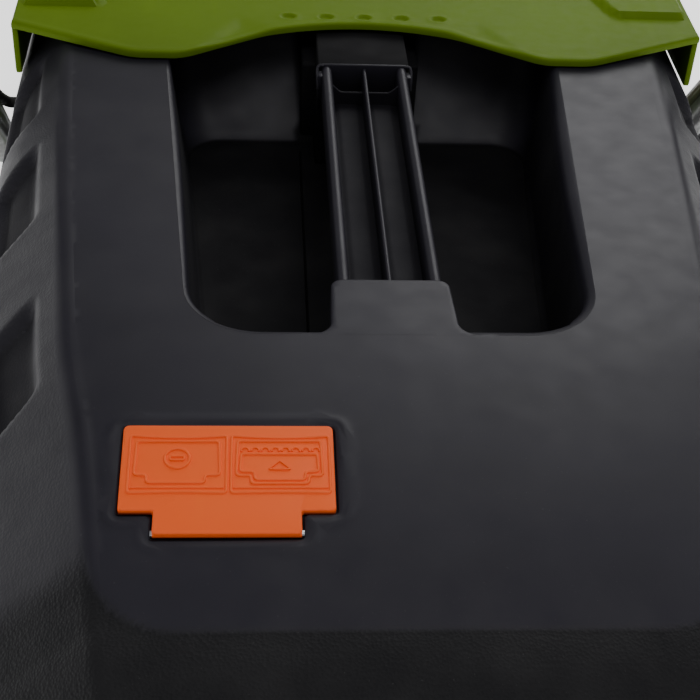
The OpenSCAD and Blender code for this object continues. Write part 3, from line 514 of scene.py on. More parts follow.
def shoulder(y):
    """Half width of the upright sides, which round off behind."""
    past = max(REAR_CORNER_Y - y, 0.0)
    return SHOULDER - REAR_CORNER + math.sqrt(max(0.0, REAR_CORNER ** 2 - past ** 2))


def rear_step(x, s):
    """How far outside the smooth panel's rounded rear outline a point lies, as a drop of the surface."""
    half = crease(REAR_CREASE) + 3
    qx = max(abs(x) - (half - PANEL_CORNER), 0.0)
    qy = max(REAR_CREASE + PANEL_CORNER - s, 0.0)
    outside = math.hypot(qx, qy) - PANEL_CORNER
    return ease(outside / 2.2) * ease((-128 - s) / 22)


def tee_outline(plate, tab, front_round, rear_round, inner_round, front_steps):
    """A plate with a narrower tab behind it, all corners rounded, anticlockwise from the front right."""
    left, right, front, rear = plate
    tab_left, tab_right, tab_rear = tab
    f, r, i = front_round, rear_round, inner_round
    return (arc(right - f, front - f, f, 0, 90, front_steps)
            + arc(left + f, front - f, f, 90, 180, front_steps)
            + arc(left + r, rear + r, r, 180, 270, 4)
            + arc(tab_left - i, rear - i, i, 90, 0, 3)
            + arc(tab_left + r, tab_rear + r, r, 180, 270, 4)
            + arc(tab_right - r, tab_rear + r, r, 270, 360, 4)
            + arc(tab_right + i, rear - i, i, 180, 90, 3)
            + arc(right - r, rear + r, r, 270, 360, 4))


def recess_outline(grow):
    """Outline of the indicator's recess, grown outwards."""
    corner = 1.6 + max(grow, 0)
    plate = (-101 - grow, -25.4 + grow, -84.2 + grow, -123.6 - grow)
    tab = (-89.4 - grow, -37.1 + grow, -133.6 - grow)
    return tee_outline(plate, tab, corner, corner, max(1.6 - grow, 0.4), 4)


def loop_distance(x, y, loop):
    """Distance from a point to a closed outline."""
    a = np.array(loop)
    b = np.roll(a, -1, axis=0)
    d = b - a
    t = np.clip(((x - a[:, 0]) * d[:, 0] + (y - a[:, 1]) * d[:, 1]) / np.maximum((d ** 2).sum(1), 1e-9), 0, 1)
    return float(np.min(np.hypot(a[:, 0] + t * d[:, 0] - x, a[:, 1] + t * d[:, 1] - y)))


RECESS = recess_outline(0)


def panel_point(x, s):
    """A point of the top panel."""
    y, z = profile(s)
    z -= PANEL_CROWN * (abs(x) / crease(y)) ** 4
    drop = PANEL_STEP * rear_step(x, s)
    tilt = math.atan2(z - profile(s - 1)[1], 1.0) if WALL_START < s < REAR_CREASE else 0.0
    y += drop * math.sin(tilt) if s > WALL_START else drop
    z -= drop * math.cos(tilt) if s > WALL_START else 0
    if -112 < x < -14 and -146 < y < -73:
        z += LIP_TALL * math.exp(-((loop_distance(x, y, RECESS) - LIP_OUT) / LIP_WIDE) ** 2)
    return Vector((x, y, z))


# rear edge, half widths behind and in front, front edge and corner radii behind and in front
WELL_RIM = np.array((-35.0, 82.5, 101.5, 241.0, 31.0, 16.0))
WELL_FLOOR = np.array((-31.5, 73.5, 88.5, 201.0, 21.0, 17.0))


def well_ring(share):
    """Closed outline of the well at a share of its depth, anticlockwise from the middle of its rear edge."""
    rear, half_rear, half_front, front, r_rear, r_front = WELL_RIM + (WELL_FLOOR - WELL_RIM) * share
    lean = math.atan2(half_front - half_rear, front - rear - r_rear)
    right = [(x, rear) for x in np.linspace(0, half_rear - r_rear, 18)[:-1]]
    right += arc(half_rear - r_rear, rear + r_rear, r_rear, -90, -math.degrees(lean), 10)
    start = right[-1]
    corner = arc(half_front - r_front, front - r_front, r_front, -math.degrees(lean), 90, 10)
    right += [(start[0] + (corner[0][0] - start[0]) * t, start[1] + (corner[0][1] - start[1]) * t)
              for t in np.linspace(0, 1, 60)[1:-1]]
    right += corner
    right += [(x, front) for x in np.linspace(corner[-1][0], 0, 20)[1:]]
    left = [(-x, y) for x, y in right[1:-1]][::-1]
    return right + left


TONGUE_HALF = 23.0
TONGUE_CORNER = 4.0
TONGUE_FLARE = 0.8
TONGUE_FILLET = 8.5


def tongue_path():
    """Right half of the tongue's outline, from its tip to the well's rear edge."""
    rear = WELL_RIM[0]
    side = TONGUE_HALF + TONGUE_FLARE + TONGUE_FILLET
    tip = arc(TONGUE_HALF - TONGUE_CORNER, -TONGUE_CORNER, TONGUE_CORNER, 90, 0, 6)
    base = arc(side, rear + TONGUE_FILLET, TONGUE_FILLET, 176, 270, 10)
    return [(x, 0.0) for x in np.linspace(0, TONGUE_HALF - TONGUE_CORNER, 5)[:-1]] + tip + base


def hole_outline():
    """Edge of the top panel round the well, with the tongue reaching into it."""
    tongue = tongue_path()
    limit = tongue[-1][0]
    ring = [p for p in well_ring(0) if not (p[1] < -30 and abs(p[0]) <= limit + 0.5)]
    split = next(i for i, p in enumerate(ring) if p[0] < 0)
    right, left = ring[:split], ring[split:]
    return tongue + right + left + [(-x, y) for x, y in tongue[:0:-1]]


def panel_skin(marks, spacing, fine):
    """Triangles of the top panel, from a grid and its outlines, lifted onto the surface."""
    holes = [hole_outline()]
    if fine:
        holes.append(RECESS)
    points = []
    edges = []

    def add_loop(loop):
        start = len(points)
        points.extend(Vector(p) for p in loop)
        edges.extend((start + i, start + (i + 1) % len(loop)) for i in range(len(loop)))

    def half(s):
        return crease(profile(s)[0]) - CREASE_SET_BACK

    def across(s, count):
        return [(x, s) for x in np.linspace(-half(s), half(s), count)[1:-1]]

    def kept(x, s):
        return abs(x) < half(s) + 0.3 and not any(inside(x, s, loop) for loop in holes)

    for loop in holes:
        add_loop(loop)
    sides = [(half(s), s) for s in marks]
    top = across(marks[-1], int(2 * half(marks[-1]) / spacing))[::-1]
    bottom = across(marks[0], int(2 * half(marks[0]) / spacing))
    add_loop(sides + top + [(-x, s) for x, s in sides[::-1]] + bottom)
    rims = [np.array(loop) for loop in holes]
    if fine:
        for grow in (1.0, 2.0, LIP_OUT, 4.6, 6.4):
            points.extend(Vector(p) for p in recess_outline(grow))
    for s in marks[1:-1]:
        for x, _ in across(s, max(2, int(2 * half(s) / spacing))):
            near = min(float(np.min(np.hypot(rim[:, 0] - x, rim[:, 1] - s))) for rim in rims)
            if near > 0.45 * spacing and not (fine and near < 7.5 and loop_distance(x, s, RECESS) < 7.2):
                points.append(Vector((x, s)))
    flat, faces = triangles(points, edges, kept)
    return [panel_point(p.x, p.y) for p in flat], faces


def inside(x, y, loop):
    """Whether a point lies within a closed outline."""
    a = np.array(loop)
    b = np.roll(a, -1, axis=0)
    crosses = (a[:, 1] > y) != (b[:, 1] > y)
    with np.errstate(divide="ignore", invalid="ignore"):
        at = a[:, 0] + (y - a[:, 1]) / (b[:, 1] - a[:, 1]) * (b[:, 0] - a[:, 0])
    return int(np.sum(crosses & (x < at))) % 2 == 1


# side recesses: the rear and front end of each at its upper edge; they slant down the band
SIDE_RECESSES = ((-55.0, 4.0), (58.0, 121.0), (148.0, 206.0))
RECESSES_START = -120.0
RECESS_TOP = 13.0
RECESS_LOW = 47.0
RECESS_LEAN = 0.42
RECESS_DEPTH = 5.5
RECESS_SLOPE = 5.0
RECESS_INNER_SLOPE = 12.0
# painted shade in the side recesses, darker where they are deeper
RECESS_PAINTED_SHADE = 0.5
SIDE_GRAIN = 0.30


def side_recess(y, down):
    """Depth of the slanted recesses at a distance down the side band from the crease."""
    u = y + RECESS_LEAN * (down - RECESS_TOP)
    across = ease((down - RECESS_TOP) / RECESS_INNER_SLOPE) * ease((RECESS_LOW - down) / RECESS_SLOPE)
    along = sum(ease((u - rear) / (1.4 * RECESS_SLOPE)) * ease((front - u) / RECESS_SLOPE)
                for rear, front in SIDE_RECESSES)
    return RECESS_DEPTH * across * along


def band_point(s, along):
    """A point of the side, traced by length: crease fillet, band, shoulder fillet and upright wall."""
    y, z = profile(s)
    wide = shoulder(y)
    c = min(crease(y), wide - BAND_LEAST)
    drop = (wide - c) * math.tan(BAND_ANGLE)
    if z - drop < LOW_EDGE + WALL_LEAST:
        drop = max(z - LOW_EDGE - WALL_LEAST, 1.0)
    run = math.hypot(wide - c, drop)
    out, fall = (wide - c) / run, drop / run
    set_low = min(SHOULDER_ROUND, 0.45 * run, 0.8 * (z - drop - LOW_EDGE))
    upper = [(c - CREASE_SET_BACK, z - PANEL_CROWN * ((c - CREASE_SET_BACK) / c) ** 4), (c, z),
             (c + out * CREASE_SET_BACK, z - fall * CREASE_SET_BACK)]
    lower = [(wide - out * set_low, z - drop + fall * set_low), (wide, z - drop), (wide, z - drop - set_low)]
    fillet = CREASE_SET_BACK * 1.9
    bend = set_low * 1.8
    straight = max(run - CREASE_SET_BACK - set_low, 0.1)
    upright = max(lower[2][1] - LOW_EDGE, 0.1)
    d = along * (fillet + straight + bend + upright)

    def curve(corners, t):
        a, b, e = corners
        return tuple(a[i] * (1 - t) ** 2 + 2 * b[i] * t * (1 - t) + e[i] * t * t for i in (0, 1))

    if d < fillet:
        x, zz = curve(upper, d / fillet)
        normal = (math.sin(BAND_ANGLE) * d / fillet, 1.0)
    elif d < fillet + straight:
        t = (d - fillet) / straight
        x, zz = (upper[2][i] + (lower[0][i] - upper[2][i]) * t for i in (0, 1))
        normal = (fall, out)
    elif d < fillet + straight + bend:
        t = (d - fillet - straight) / bend
        x, zz = curve(lower, t)
        normal = (fall * (1 - t) + t, out * (1 - t))
    else:
        t = (d - fillet - straight - bend) / upright
        x, zz = wide, lower[2][1] + (LOW_EDGE - lower[2][1]) * t
        normal = (1.0, 0.0)
    size = math.hypot(*normal)
    depth = side_recess(y, d - 0.5 * fillet) if s > RECESSES_START else 0.0
    depth += PANEL_STEP * rear_step(x, s)
    return Vector((x - normal[0] / size * depth, y, zz - normal[1] / size * depth))


def lean_mouth(p):
    """Draws the front stretch back so that its edge follows the slanted mouth."""
    if p.y > FRONT_START:
        p.y -= MOUTH_LEAN * max(-p.z, 0) * (p.y - FRONT_START) / (MOUTH_Y - FRONT_START)
    return p


def side_skin(marks, sign, columns):
    """Grid skin of one side, from the crease fillet to the lower edge."""
    shares = np.linspace(0, 1, columns)
    wall_top = profile(WALL_START)[1]
    points = []
    for s in marks:
        row = [band_point(max(s, WALL_START), t) for t in shares]
        if s < WALL_START:
            share = (profile(s)[1] - LOW_EDGE) / (wall_top - LOW_EDGE)
            row = [Vector((p.x, p.y, LOW_EDGE + (p.z - LOW_EDGE) * share)) for p in row]
            row[0].z = panel_point(row[0].x, s).z
        else:
            row[0] = panel_point(row[0].x, s)
        points += [lean_mouth(Vector((sign * p.x, p.y, p.z))) for p in row]
    return points, grid_faces(len(marks), columns)


def rim_radius(x):
    """The well's rim is crisper on the left than on the right."""
    return 3.2 + 2.0 * ease((x + 20) / 60)


def ramp_share(y):
    """How far a point of the floor's outline belongs to the well's front, which slopes like a ramp."""
    return ease((y - 150) / 40)


FLOOR_FILLET = 4.0
FLOOR_STEP = 2.6
RIM_MIDDLE = Vector((0, 100))
FLOOR_MIDDLE = np.array((0.0, 85.0))


def floor_lift(front):
    """Height above the floor at which its edge begins: a fillet at the sides, a small step in front."""
    return FLOOR_FILLET * 0.55 * (1 - front) + FLOOR_STEP * front


def well_skin(levels):
    """Skin of the well's wall, as rings from the panel's edge down to its floor."""
    rings = []
    for turn in (0, 25, 50, 75, 90):
        a = math.radians(turn)
        ring = []
        for x, y in well_ring(0):
            r = rim_radius(x)
            inward = (RIM_MIDDLE - Vector((x, y))).normalized()
            if abs(x) < 70 and y < 0:
                inward = Vector((0, 1))
            inward = inward * (r * math.sin(a))
            ring.append((x + inward.x, y + inward.y, -r * (1 - math.cos(a))))
        rings.append(ring)
    start = rings[-1]
    floor = well_ring(1)
    for share in np.linspace(0, 1, levels)[1:]:
        ring = []
        for (x0, y0, z0), (x1, y1) in zip(start, floor):
            front = ramp_share(y1)
            x = x0 + (x1 - x0) * share ** (1 + 0.9 * front)
            y = y0 + (y1 - y0) * share ** (1 + 0.8 * front)
            ring.append((x, y, z0 + (-WELL_DEPTH + floor_lift(front) - z0) * share))
        rings.append(ring)
    for turn in (35, 65, 90):
        curl = math.sin(math.radians(turn))
        ring = []
        for x, y in np.array(floor):
            front = ramp_share(y)
            toward = FLOOR_MIDDLE - np.array((x, y))
            toward /= np.linalg.norm(toward)
            toward *= curl * (0.6 * FLOOR_FILLET * (1 - front) + 1.2 * front)
            ring.append((x + toward[0], y + toward[1], -WELL_DEPTH + floor_lift(front) * (1 - curl)))
        rings.append(ring)
    return rings


# two grooves along the floor
SEAM_X = 30.0
SEAM_DEPTH = 2.4
SEAM_START = -25.0
SEAM_END = 196.0
SEAM_HALF = 0.7
# the handle ends in a tall block on a lower, wider one: half width, start, top and rounded edge of each
POST_START = 181.2
POST_END = 246.0
POST_BLOCKS = ((22.8, POST_START, -1.5, 1.0), (SEAM_X, 203.0, -12.0, 1.2))
# painted shade on the post, which lies in shadow under the flap
POST_PAINTED_SHADE = 1.0


def floor_skin(outline):
    """The well's floor with its two seam grooves."""
    loop = [tuple(p[:2]) for p in outline]
    clear = drawn_in(loop, 4)
    points = [Vector(p) for p in loop]
    edges = [(i, (i + 1) % len(points)) for i in range(len(points))]
    for sign in (-1, 1):
        for dx in (-SEAM_HALF, 0.0, SEAM_HALF):
            points += [Vector((sign * SEAM_X + dx, y)) for y in np.linspace(SEAM_START, SEAM_END, 40)]
    for x in np.linspace(-70, 70, 22):
        for y in np.linspace(-20, 190, 30):
            if abs(abs(x) - SEAM_X) > 3 and inside(x, y, clear):
                points.append(Vector((x, y)))
    flat, faces = triangles(points, edges, lambda x, y: inside(x, y, loop))
    lifted = []
    for p in flat:
        grooved = abs(abs(p.x) - SEAM_X) < 0.1 and SEAM_START < p.y < SEAM_END
        lifted.append(Vector((p.x, p.y, -WELL_DEPTH - (SEAM_DEPTH if grooved else 0.0))))
    return lifted, faces


def drawn_in(outline, inset):
    """An outline drawn in towards the well's middle."""
    inner = []
    for p in outline:
        away = np.array(p) - FLOOR_MIDDLE
        size = np.linalg.norm(away)
        inner.append(tuple(FLOOR_MIDDLE + away * (size - inset) / size))
    return inner


def tongue_skirt():
    """Rounded rim and hanging edge of the tongue."""
    path = [(-x, y) for x, y in tongue_path()[:0:-1]] + tongue_path()
    points = np.array(path)
    ahead = np.gradient(points, axis=0)
    out = np.stack([-ahead[:, 1], ahead[:, 0]], axis=1)
    out /= np.linalg.norm(out, axis=1, keepdims=True)
    section = [(0.0, 0.0), (0.45, -0.12), (0.85, -0.45), (1.0, -1.0), (1.0, -14.0), (-2.0, -14.0)]
    flat = [(x + n[0] * dx, y + n[1] * dx, dz) for dx, dz in section for (x, y), n in zip(points, out)]
    return flat, grid_faces(len(section), len(points))


def recess_skin():
    """Walls of the indicator's recess, as rings from the panel down to its floor."""
    steps = ((0, 0.0), (-0.35, 0.3), (-0.5, 1.0), (-0.6, RECESS_DROP))
    return [[(x, y, profile(y)[1] - drop) for x, y in recess_outline(grow)] for grow, drop in steps]


def row_marks(step, front_step):
    """Row distances along the collector, closer where the surface bends."""
    rear, front = REAR_CREASE - 4, REAR_CREASE + 4
    marks = list(np.linspace(WALL_START - 20, WALL_START, 5)[:-1])
    marks += list(np.linspace(WALL_START, rear, int(ROUND_LENGTH / max(step * 1.6, 2.6)))[:-1])
    marks += list(np.linspace(rear, front, 6)[:-1])
    marks += list(np.linspace(front, FRONT_START, int((FRONT_START - front) / step))[:-1])
    marks += list(np.linspace(FRONT_START, MOUTH_Y, int((MOUTH_Y - FRONT_START) / front_step)))
    return marks


def painted_shade_value(p, beside_panel):
    """How much painted shade darkens the surface at a point: in the side recesses, on the post, and down the well.
    """
    if beside_panel and p.y > -80:
        down = math.hypot(abs(p.x) - crease(p.y), p.z - profile(p.y)[1])
        return RECESS_PAINTED_SHADE * ease(side_recess(p.y, down) / RECESS_DEPTH / 0.4 - 1.5)
    if abs(p.x) > 106 or not -38 < p.y < 250 or p.z > -1:
        return 0.0
    if abs(p.x) < SEAM_X + 1 and p.y > POST_START - 1:
        return POST_PAINTED_SHADE
    if p.z < -WELL_DEPTH + 1.2:
        return 1.0
    ramp = ease((p.y - 186) / 14) if abs(p.x) > SEAM_X + 1 else 0.0
    return 0.75 * ease((-p.z - 1.5) / 12) * (1 - 0.85 * ramp)


def with_values(mesh):
    """Stores where the surface is grained, and the painted shade that darkens it in the side recesses, on the post
    and down the well.
    """
    grain = mesh.attributes.new("grain", "FLOAT", "POINT")
    painted_shade = mesh.attributes.new("painted_shade", "FLOAT", "POINT")
    back = COLLECTOR.inverted()
    for i, vertex in enumerate(mesh.vertices):
        p = back @ vertex.co
        side = SIDE_GRAIN * ease((abs(p.x) - crease(p.y) - 1) / 5)
        grain.data[i].value = max(rear_step(p.x, p.y), side)
        painted_shade.data[i].value = painted_shade_value(p, side > 0)
    return mesh


def leaned(mesh):
    """The same mesh with its front edge drawn back to the mouth."""
    back = COLLECTOR.inverted()
    for vertex in mesh.vertices:
        vertex.co = COLLECTOR @ lean_mouth(back @ vertex.co)
    return mesh


def sunk(mesh, depth_mm):
    """The same mesh moved under the outer surface."""
    b = bmesh.new()
    b.from_mesh(mesh)
    b.normal_update()
    up = sum(f.normal.z * f.calc_area() for f in b.faces)
    depth = math.copysign(depth_mm * MM, up)
    moved = [(vertex, vertex.co - vertex.normal * depth) for vertex in b.verts]
    for vertex, place in moved:
        vertex.co = place
    b.to_mesh(mesh)
    b.free()
    return mesh


def collector_top():
    """Moulded upper half of the collector: a fine outer skin over a coarse lining."""
    marks = row_marks(1.7, 6.0)
    parts = [leaned(mesh_from("panel", *panel_skin(marks, 2.6, True)))]
    parts += [mesh_from("side", *side_skin(marks, sign, 66)) for sign in (-1, 1)]
    rings = well_skin(16)
    parts.append(rings_mesh("well", rings, capped=False))
    parts.append(mesh_from("floor", *floor_skin(rings[-1])))
    parts.append(mesh_from("skirt", *tongue_skirt()))
    recess = recess_skin()
    parts.append(rings_mesh("recess", recess, capped=False))
    parts.append(mesh_from("recess_floor", recess[-1], [tuple(range(len(recess[-1])))]))
    for half, start, top, edge in POST_BLOCKS:
        parts.append(box_mesh("post", (-half, start, -WELL_DEPTH), (half, POST_END, top), edge))
    outer = welded(joined("outer", parts), WELD)
    coarse = row_marks(9.0, 18.0)
    inner = [mesh_from("panel", *panel_skin(coarse, 9.0, False))]
    inner += [mesh_from("side", *side_skin(coarse, sign, 18)) for sign in (-1, 1)]
    inner.append(rings_mesh("well", well_skin(5), capped=False))
    inner.append(mesh_from("floor", *floor_skin(rings[-1])))
    lining = sunk(leaned(welded(joined("lining", inner), WELD)), SKIN)
    mesh = with_values(joined("collector_top", [outer, lining]))
    piece("collector_top.fine", mesh, "collector_charcoal", "collector", ["collector_top"], sharp_deg=50)


# ---------- carry handle ----------

RIB_X = 18.6
RIB_WIDE = 4.9
RIB_LOW = -15.0
MIDDLE_RIB_WIDE = 1.8
MIDDLE_RIB_TOP = -0.9
HANDLE_START = 0.4
HANDLE_END = 180.6
RIDGE_HALF = 21.0
RIDGE_TOP = 0.9
CROSS_Y = 166.5
CROSS_LOW = -7.2
CROSS_RISE = 4.6
FLOOR_TOP = -14.4
FLOOR_UNDER = -16.9
# painted shade that darkens the handle's channel towards its floor
CHANNEL_PAINTED_SHADE = 0.6


def rib(x, width, low, high):
    """A rib along the handle with a rounded top."""
    half = width / 2
    section = [(-half, low), *arc(0, high - half, half, 180, 0, 8), (half, low)]
    stations = np.linspace(HANDLE_START, HANDLE_END - 1, 24)
    return rings_mesh("rib", [[(x + px, y, pz) for px, pz in section] for y in stations])


def cross_lip():
    """Thin wall across the channel, its upper edge drawn up to the ribs at both ends."""
    rings = []
    low = RIB_LOW + 0.2
    for x in np.linspace(-RIB_X + 2, RIB_X - 2, 41):
        top = CROSS_LOW + CROSS_RISE * ease((abs(x) - 11) / 7)
        section = ((-0.6, low), (-0.6, top - 0.4), (-0.3, top), (0.3, top), (0.6, top - 0.4), (0.6, low))
        rings.append([(x, CROSS_Y + dy, z) for dy, z in section])
    return rings_mesh("lip", rings)


def handle_floor():
    """Channel floor with two faint pads along its middle."""
    columns = np.linspace(-RIB_X + 2.2, RIB_X - 2.2, 37)
    rows = np.linspace(-24, CROSS_Y, 50)
    top = [(x, y, FLOOR_TOP + 0.6 * ease((6 - abs(abs(x) - 8.5)) / 2)) for y in rows for x in columns]
    points = top + [(x, y, FLOOR_UNDER) for x, y, _ in top]
    n = len(columns)
    m = len(rows)
    faces = grid_faces(m, n) + grid_faces(m, n, n * m)
    rim = list(range(n)) + [k * n + n - 1 for k in range(1, m)]
    rim += [(m - 1) * n + i for i in range(n - 2, -1, -1)] + [k * n for k in range(m - 2, 0, -1)]
    faces += [(a, b, b + n * m, a + n * m) for a, b in zip(rim, rim[1:] + rim[:1])]
    return mesh_from("handle_floor", points, faces)


def carry_handle():
    """Open channel bar: two outer ribs, a thin middle rib, a floor and a front ridge with hooked ears."""
    parts = [rib(s * RIB_X, RIB_WIDE, RIB_LOW, 0.0) for s in (-1, 1)]
    parts.append(rib(0, MIDDLE_RIB_WIDE, RIB_LOW + 0.2, MIDDLE_RIB_TOP))
    parts.append(handle_floor())
    parts.append(cross_lip())
    parts.append(box_mesh("ridge", (-RIDGE_HALF, HANDLE_END - 1.7, RIB_LOW + 0.4),
                          (RIDGE_HALF, HANDLE_END - 0.1, RIDGE_TOP), 0.6, 3))
    ear = ((-0.8, -1.3, 0.0), (1.0, -1.3, 0.0), (2.2, -2.4, -1.0), (2.3, -6.0, -4.0), (2.0, -9.0, -9.0))
    for s in (-1, 1):
        path = smooth_path([(s * (RIDGE_HALF + x), HANDLE_END + y, z) for x, y, z in ear], 6)
        parts.append(swept("ear", path, 0.8, COLLECTOR))
        block = s * (RIDGE_HALF + 0.5)
        parts.append(box_mesh("block", (block - 1.6, HANDLE_END - 8.5, RIB_LOW),
                              (block + 1.6, HANDLE_END - 2.5, -2.0), 0.7))
    mesh = joined("carry_handle", parts)
    # painted shade: the channel's colour darkens below the top of its ribs
    painted_shade = mesh.attributes.new("painted_shade", "FLOAT", "POINT")
    back = COLLECTOR.inverted()
    for i, vertex in enumerate(mesh.vertices):
        painted_shade.data[i].value = CHANNEL_PAINTED_SHADE * ease((-3 - (back @ vertex.co).z) / 6)
    piece("carry_handle.fine", mesh, "collector_charcoal", "collector", ["carry_handle"])


# ---------- fill indicator ----------

# the indicator's own place: its hinge's foot, tilted like the panel 75 mm behind the level stretch
PANEL_SLOPE = math.atan(2 * FALL * 75)
PANEL = COLLECTOR @ Matrix.Translation((0, -130.6, -10.7)) @ Matrix.Rotation(PANEL_SLOPE, 4, "X")
PLATE_TOP = 3.4
PLATE_EDGE = 0.7
BARREL_RADIUS = 1.8
# pictures on the plate: left and right edge of each frame, and its lower and upper edge
FRAMES = ((-97.4, -63.9), (-62.3, -28.3))
FRAME_LOW = 15.6
FRAME_HIGH = 40.8
# pictured tabs: left, right, top and shelf, then left, right and foot of the narrow part
SHUT_TAB = (-95.2, -66.6, 38.2, 23.3, -91.3, -71.2, 19.9)
OPEN_TABS = ((-60.2, -31.2, 38.4, 23.1, -55.6, -35.5, 19.6), (-58.9, -32.5, 32.6, 24.7, -54.4, -36.7, 21.2))
HALF_RING_PITCH = 3.53


def plate_outline(inset):
    """The indicator's outline, drawn in by an inset."""
    plate = (-100.2 + inset, -26.6 - inset, 45.9 - inset, 8.3 + inset)
    tab = (-88.3 + inset, -38.3 - inset, -1.3 + inset)
    return tee_outline(plate, tab, 2.0, 1.2, 0.8, 5)


def rounded_path(points, radius, closed=True, steps=4):
    """A path whose corners are rounded."""
    n = len(points)
    path = []
    for i, p in enumerate(points):
        p = Vector(p)
        if not closed and i in (0, n - 1):
            path.append(p)
            continue
        a = Vector(points[i - 1]) - p
        b = Vector(points[(i + 1) % n]) - p
        r = min(radius, a.length * 0.45, b.length * 0.45)
        start = p + a.normalized() * r
        end = p + b.normalized() * r
        for k in range(steps + 1):
            t = k / steps
            path.append(start * (1 - t) ** 2 + p * (2 * t * (1 - t)) + end * t * t)
    return path


def bead(path, closed=True, wide=1.15, tall=0.62):
    """A raised half-round line on the indicator's face."""
    flat = [Vector(p[:2]) for p in path]
    n = len(flat)
    half = [(-0.5, -0.12), (-0.44, 0.5), (-0.26, 0.94)]
    section = [*half, (0.0, 1.0), *[(-x, z) for x, z in half[::-1]]]
    rings = []
    for i, p in enumerate(flat):
        ahead = flat[(i + 1) % n] - flat[i - 1] if closed else flat[min(i + 1, n - 1)] - flat[max(i - 1, 0)]
        ahead.normalize()
        side = Vector((-ahead.y, ahead.x)) * wide
        rings.append([(*(p + side * dx), PLATE_TOP + dz * tall) for dx, dz in section])
    if closed:
        rings.append(rings[0])
    return rings_mesh("bead", rings, PANEL, capped=not closed)


def concave_frame(x0, x1, dip=1.0):
    """Frame with straight sides and upper and lower edges that dip towards its middle."""
    count = 13
    middle = (x0 + x1) / 2
    half = (x1 - x0) / 2
    bows = [(x, 1 - ((x - middle) / half) ** 2) for x in np.linspace(x0, x1, count)]
    path = [(x, FRAME_LOW + 0.35 * dip * bow) for x, bow in bows]
    path += [(x, FRAME_HIGH - dip * bow) for x, bow in bows[::-1]]
    rounded = []
    for i, p in enumerate(path):
        if i in (0, count - 1, count, 2 * count - 1):
            corner = rounded_path([path[i - 1], p, path[(i + 1) % len(path)]], 1.6, False)
            rounded += corner[1:-1]
        else:
            rounded.append(Vector(p))
    return rounded


def tab_outline(x0, x1, top, shelf, tab0, tab1, low):
    """A plate with a narrower foot, corners rounded."""
    left = [(x0, top), (x0 - 0.4, shelf), (tab0, shelf), (tab0 + 0.2, low)]
    right = [(tab1 - 0.2, low), (tab1, shelf), (x1 + 0.4, shelf), (x1, top)]
    return rounded_path(left + right, 1.3)


def indicator_body():
    """Plate with rounded rims, joined to the barrel at its hinge."""
    rings = [[(*p, 0.4) for p in plate_outline(0.5)], [(*p, 0.9) for p in plate_outline(0)]]
    for turn in (0, 30, 60, 90):
        a = math.radians(turn)
        height = PLATE_TOP - PLATE_EDGE + PLATE_EDGE * math.sin(a)
        rings.append([(*p, height) for p in plate_outline(PLATE_EDGE * (1 - math.cos(a)))])
    stations = (-88.2, -87.3, -80, -63, -46, -39.2, -38.4)
    barrel = [(x, 0.4, PLATE_TOP - BARREL_RADIUS - 0.1) for x in stations]
    return [rings_mesh("plate", rings, PANEL), swept("barrel", barrel, BARREL_RADIUS, PANEL, sides=20)]


def fill_indicator():
    """Flap that lifts with the air flow, with two raised pictures of itself, shut and open."""
    parts = indicator_body()
    for left, right in FRAMES:
        parts.append(bead(concave_frame(left, right)))
        parts.append(bead([(x, 17.8) for x in np.linspace(left + 0.8, right - 0.8, 12)], False, 0.9, 0.5))
    parts += [bead(tab_outline(*tab)) for tab in (SHUT_TAB, *OPEN_TABS)]
    # shut: a bar in a ring; open: a row of half rings over an upward arrow
    bar = rounded_path([(-83.4, 29.8), (-83.4, 31.4), (-78.6, 31.4), (-78.6, 29.8)], 0.5)
    arrow = rounded_path([(-49.4, 25.8), (-45.6, 29.6), (-41.8, 25.8)], 0.7)
    parts.append(bead(arc(-81, 30.6, 4.3, 0, 345, 23)))
    parts.append(bead(bar, wide=0.9))
    for k in range(8):
        parts.append(bead(arc(-57.6 + k * HALF_RING_PITCH, 34.1, 1.3, -20, 200, 10), False, 0.8, 0.6))
    parts.append(bead(arrow, wide=0.85))
    mesh = joined("fill_indicator", parts)
    piece("fill_indicator.fine", mesh, "indicator_orange", "indicator", ["fill_indicator"], sharp_deg=50)


# ---------- rear flap ----------

FLAP_HALF = 177.0
FLAP_LOW = 0.5
FLAP_THICK = 3.8
FLAP_END = HINGE_Y - 12
RIM_ROUND = 1.6
# trailing edge: bowed forward in the middle, back in a lobe on each side, forward again at the corners
BOW_HALF = 50.0
BOW_DEEP = 10.0
BOW_Y = 207.5
LOBE_INNER = 90.0
LOBE_OUTER = 115.0
LOBE_Y = 182.0
CORNER_Y = 211.0
# folded facets beside the bow: the place of their ridge, and their depth
FACET_X = 62.0
FACET_Y = 225.0
FACET_DEEP = 1.1
# row of dimples, and the two screws' seats
DIMPLE_Y = 224.0
DIMPLE_X = 2.0
DIMPLES = range(-2, 3)
DIMPLE_PITCH = 19.5
DIMPLE_STRETCH = 1.35
SEAT_X = 134.0
SEAT_Y = 325.0
SEAT_RADIUS = 8.2
# raised pads
PAD_OUTER = 174.5
PAD_REAR = 229.5
PAD_FRONT = 372.0
PAD_CORNER = 6.0
PAD_TALL = 3.4
SIDE_LOW = -25.5
SIDE_START = 211.8
KNUCKLE_RADIUS = 6.9


def trail(x):
    """Trailing edge of the flap, smoothed a little where its stretches meet."""
    def sharp(a):
        a = abs(a)
        if a < BOW_HALF:
            return BOW_Y + BOW_DEEP * (1 - (a / BOW_HALF) ** 2)
        if a < LOBE_INNER:
            return BOW_Y + (LOBE_Y - BOW_Y) * (a - BOW_HALF) / (LOBE_INNER - BOW_HALF)
        return LOBE_Y + (CORNER_Y - LOBE_Y) * max(a - LOBE_OUTER, 0) / (FLAP_HALF - LOBE_OUTER)

    return sum(sharp(x + d) for d in (-5, -2.5, 0, 2.5, 5)) / 5


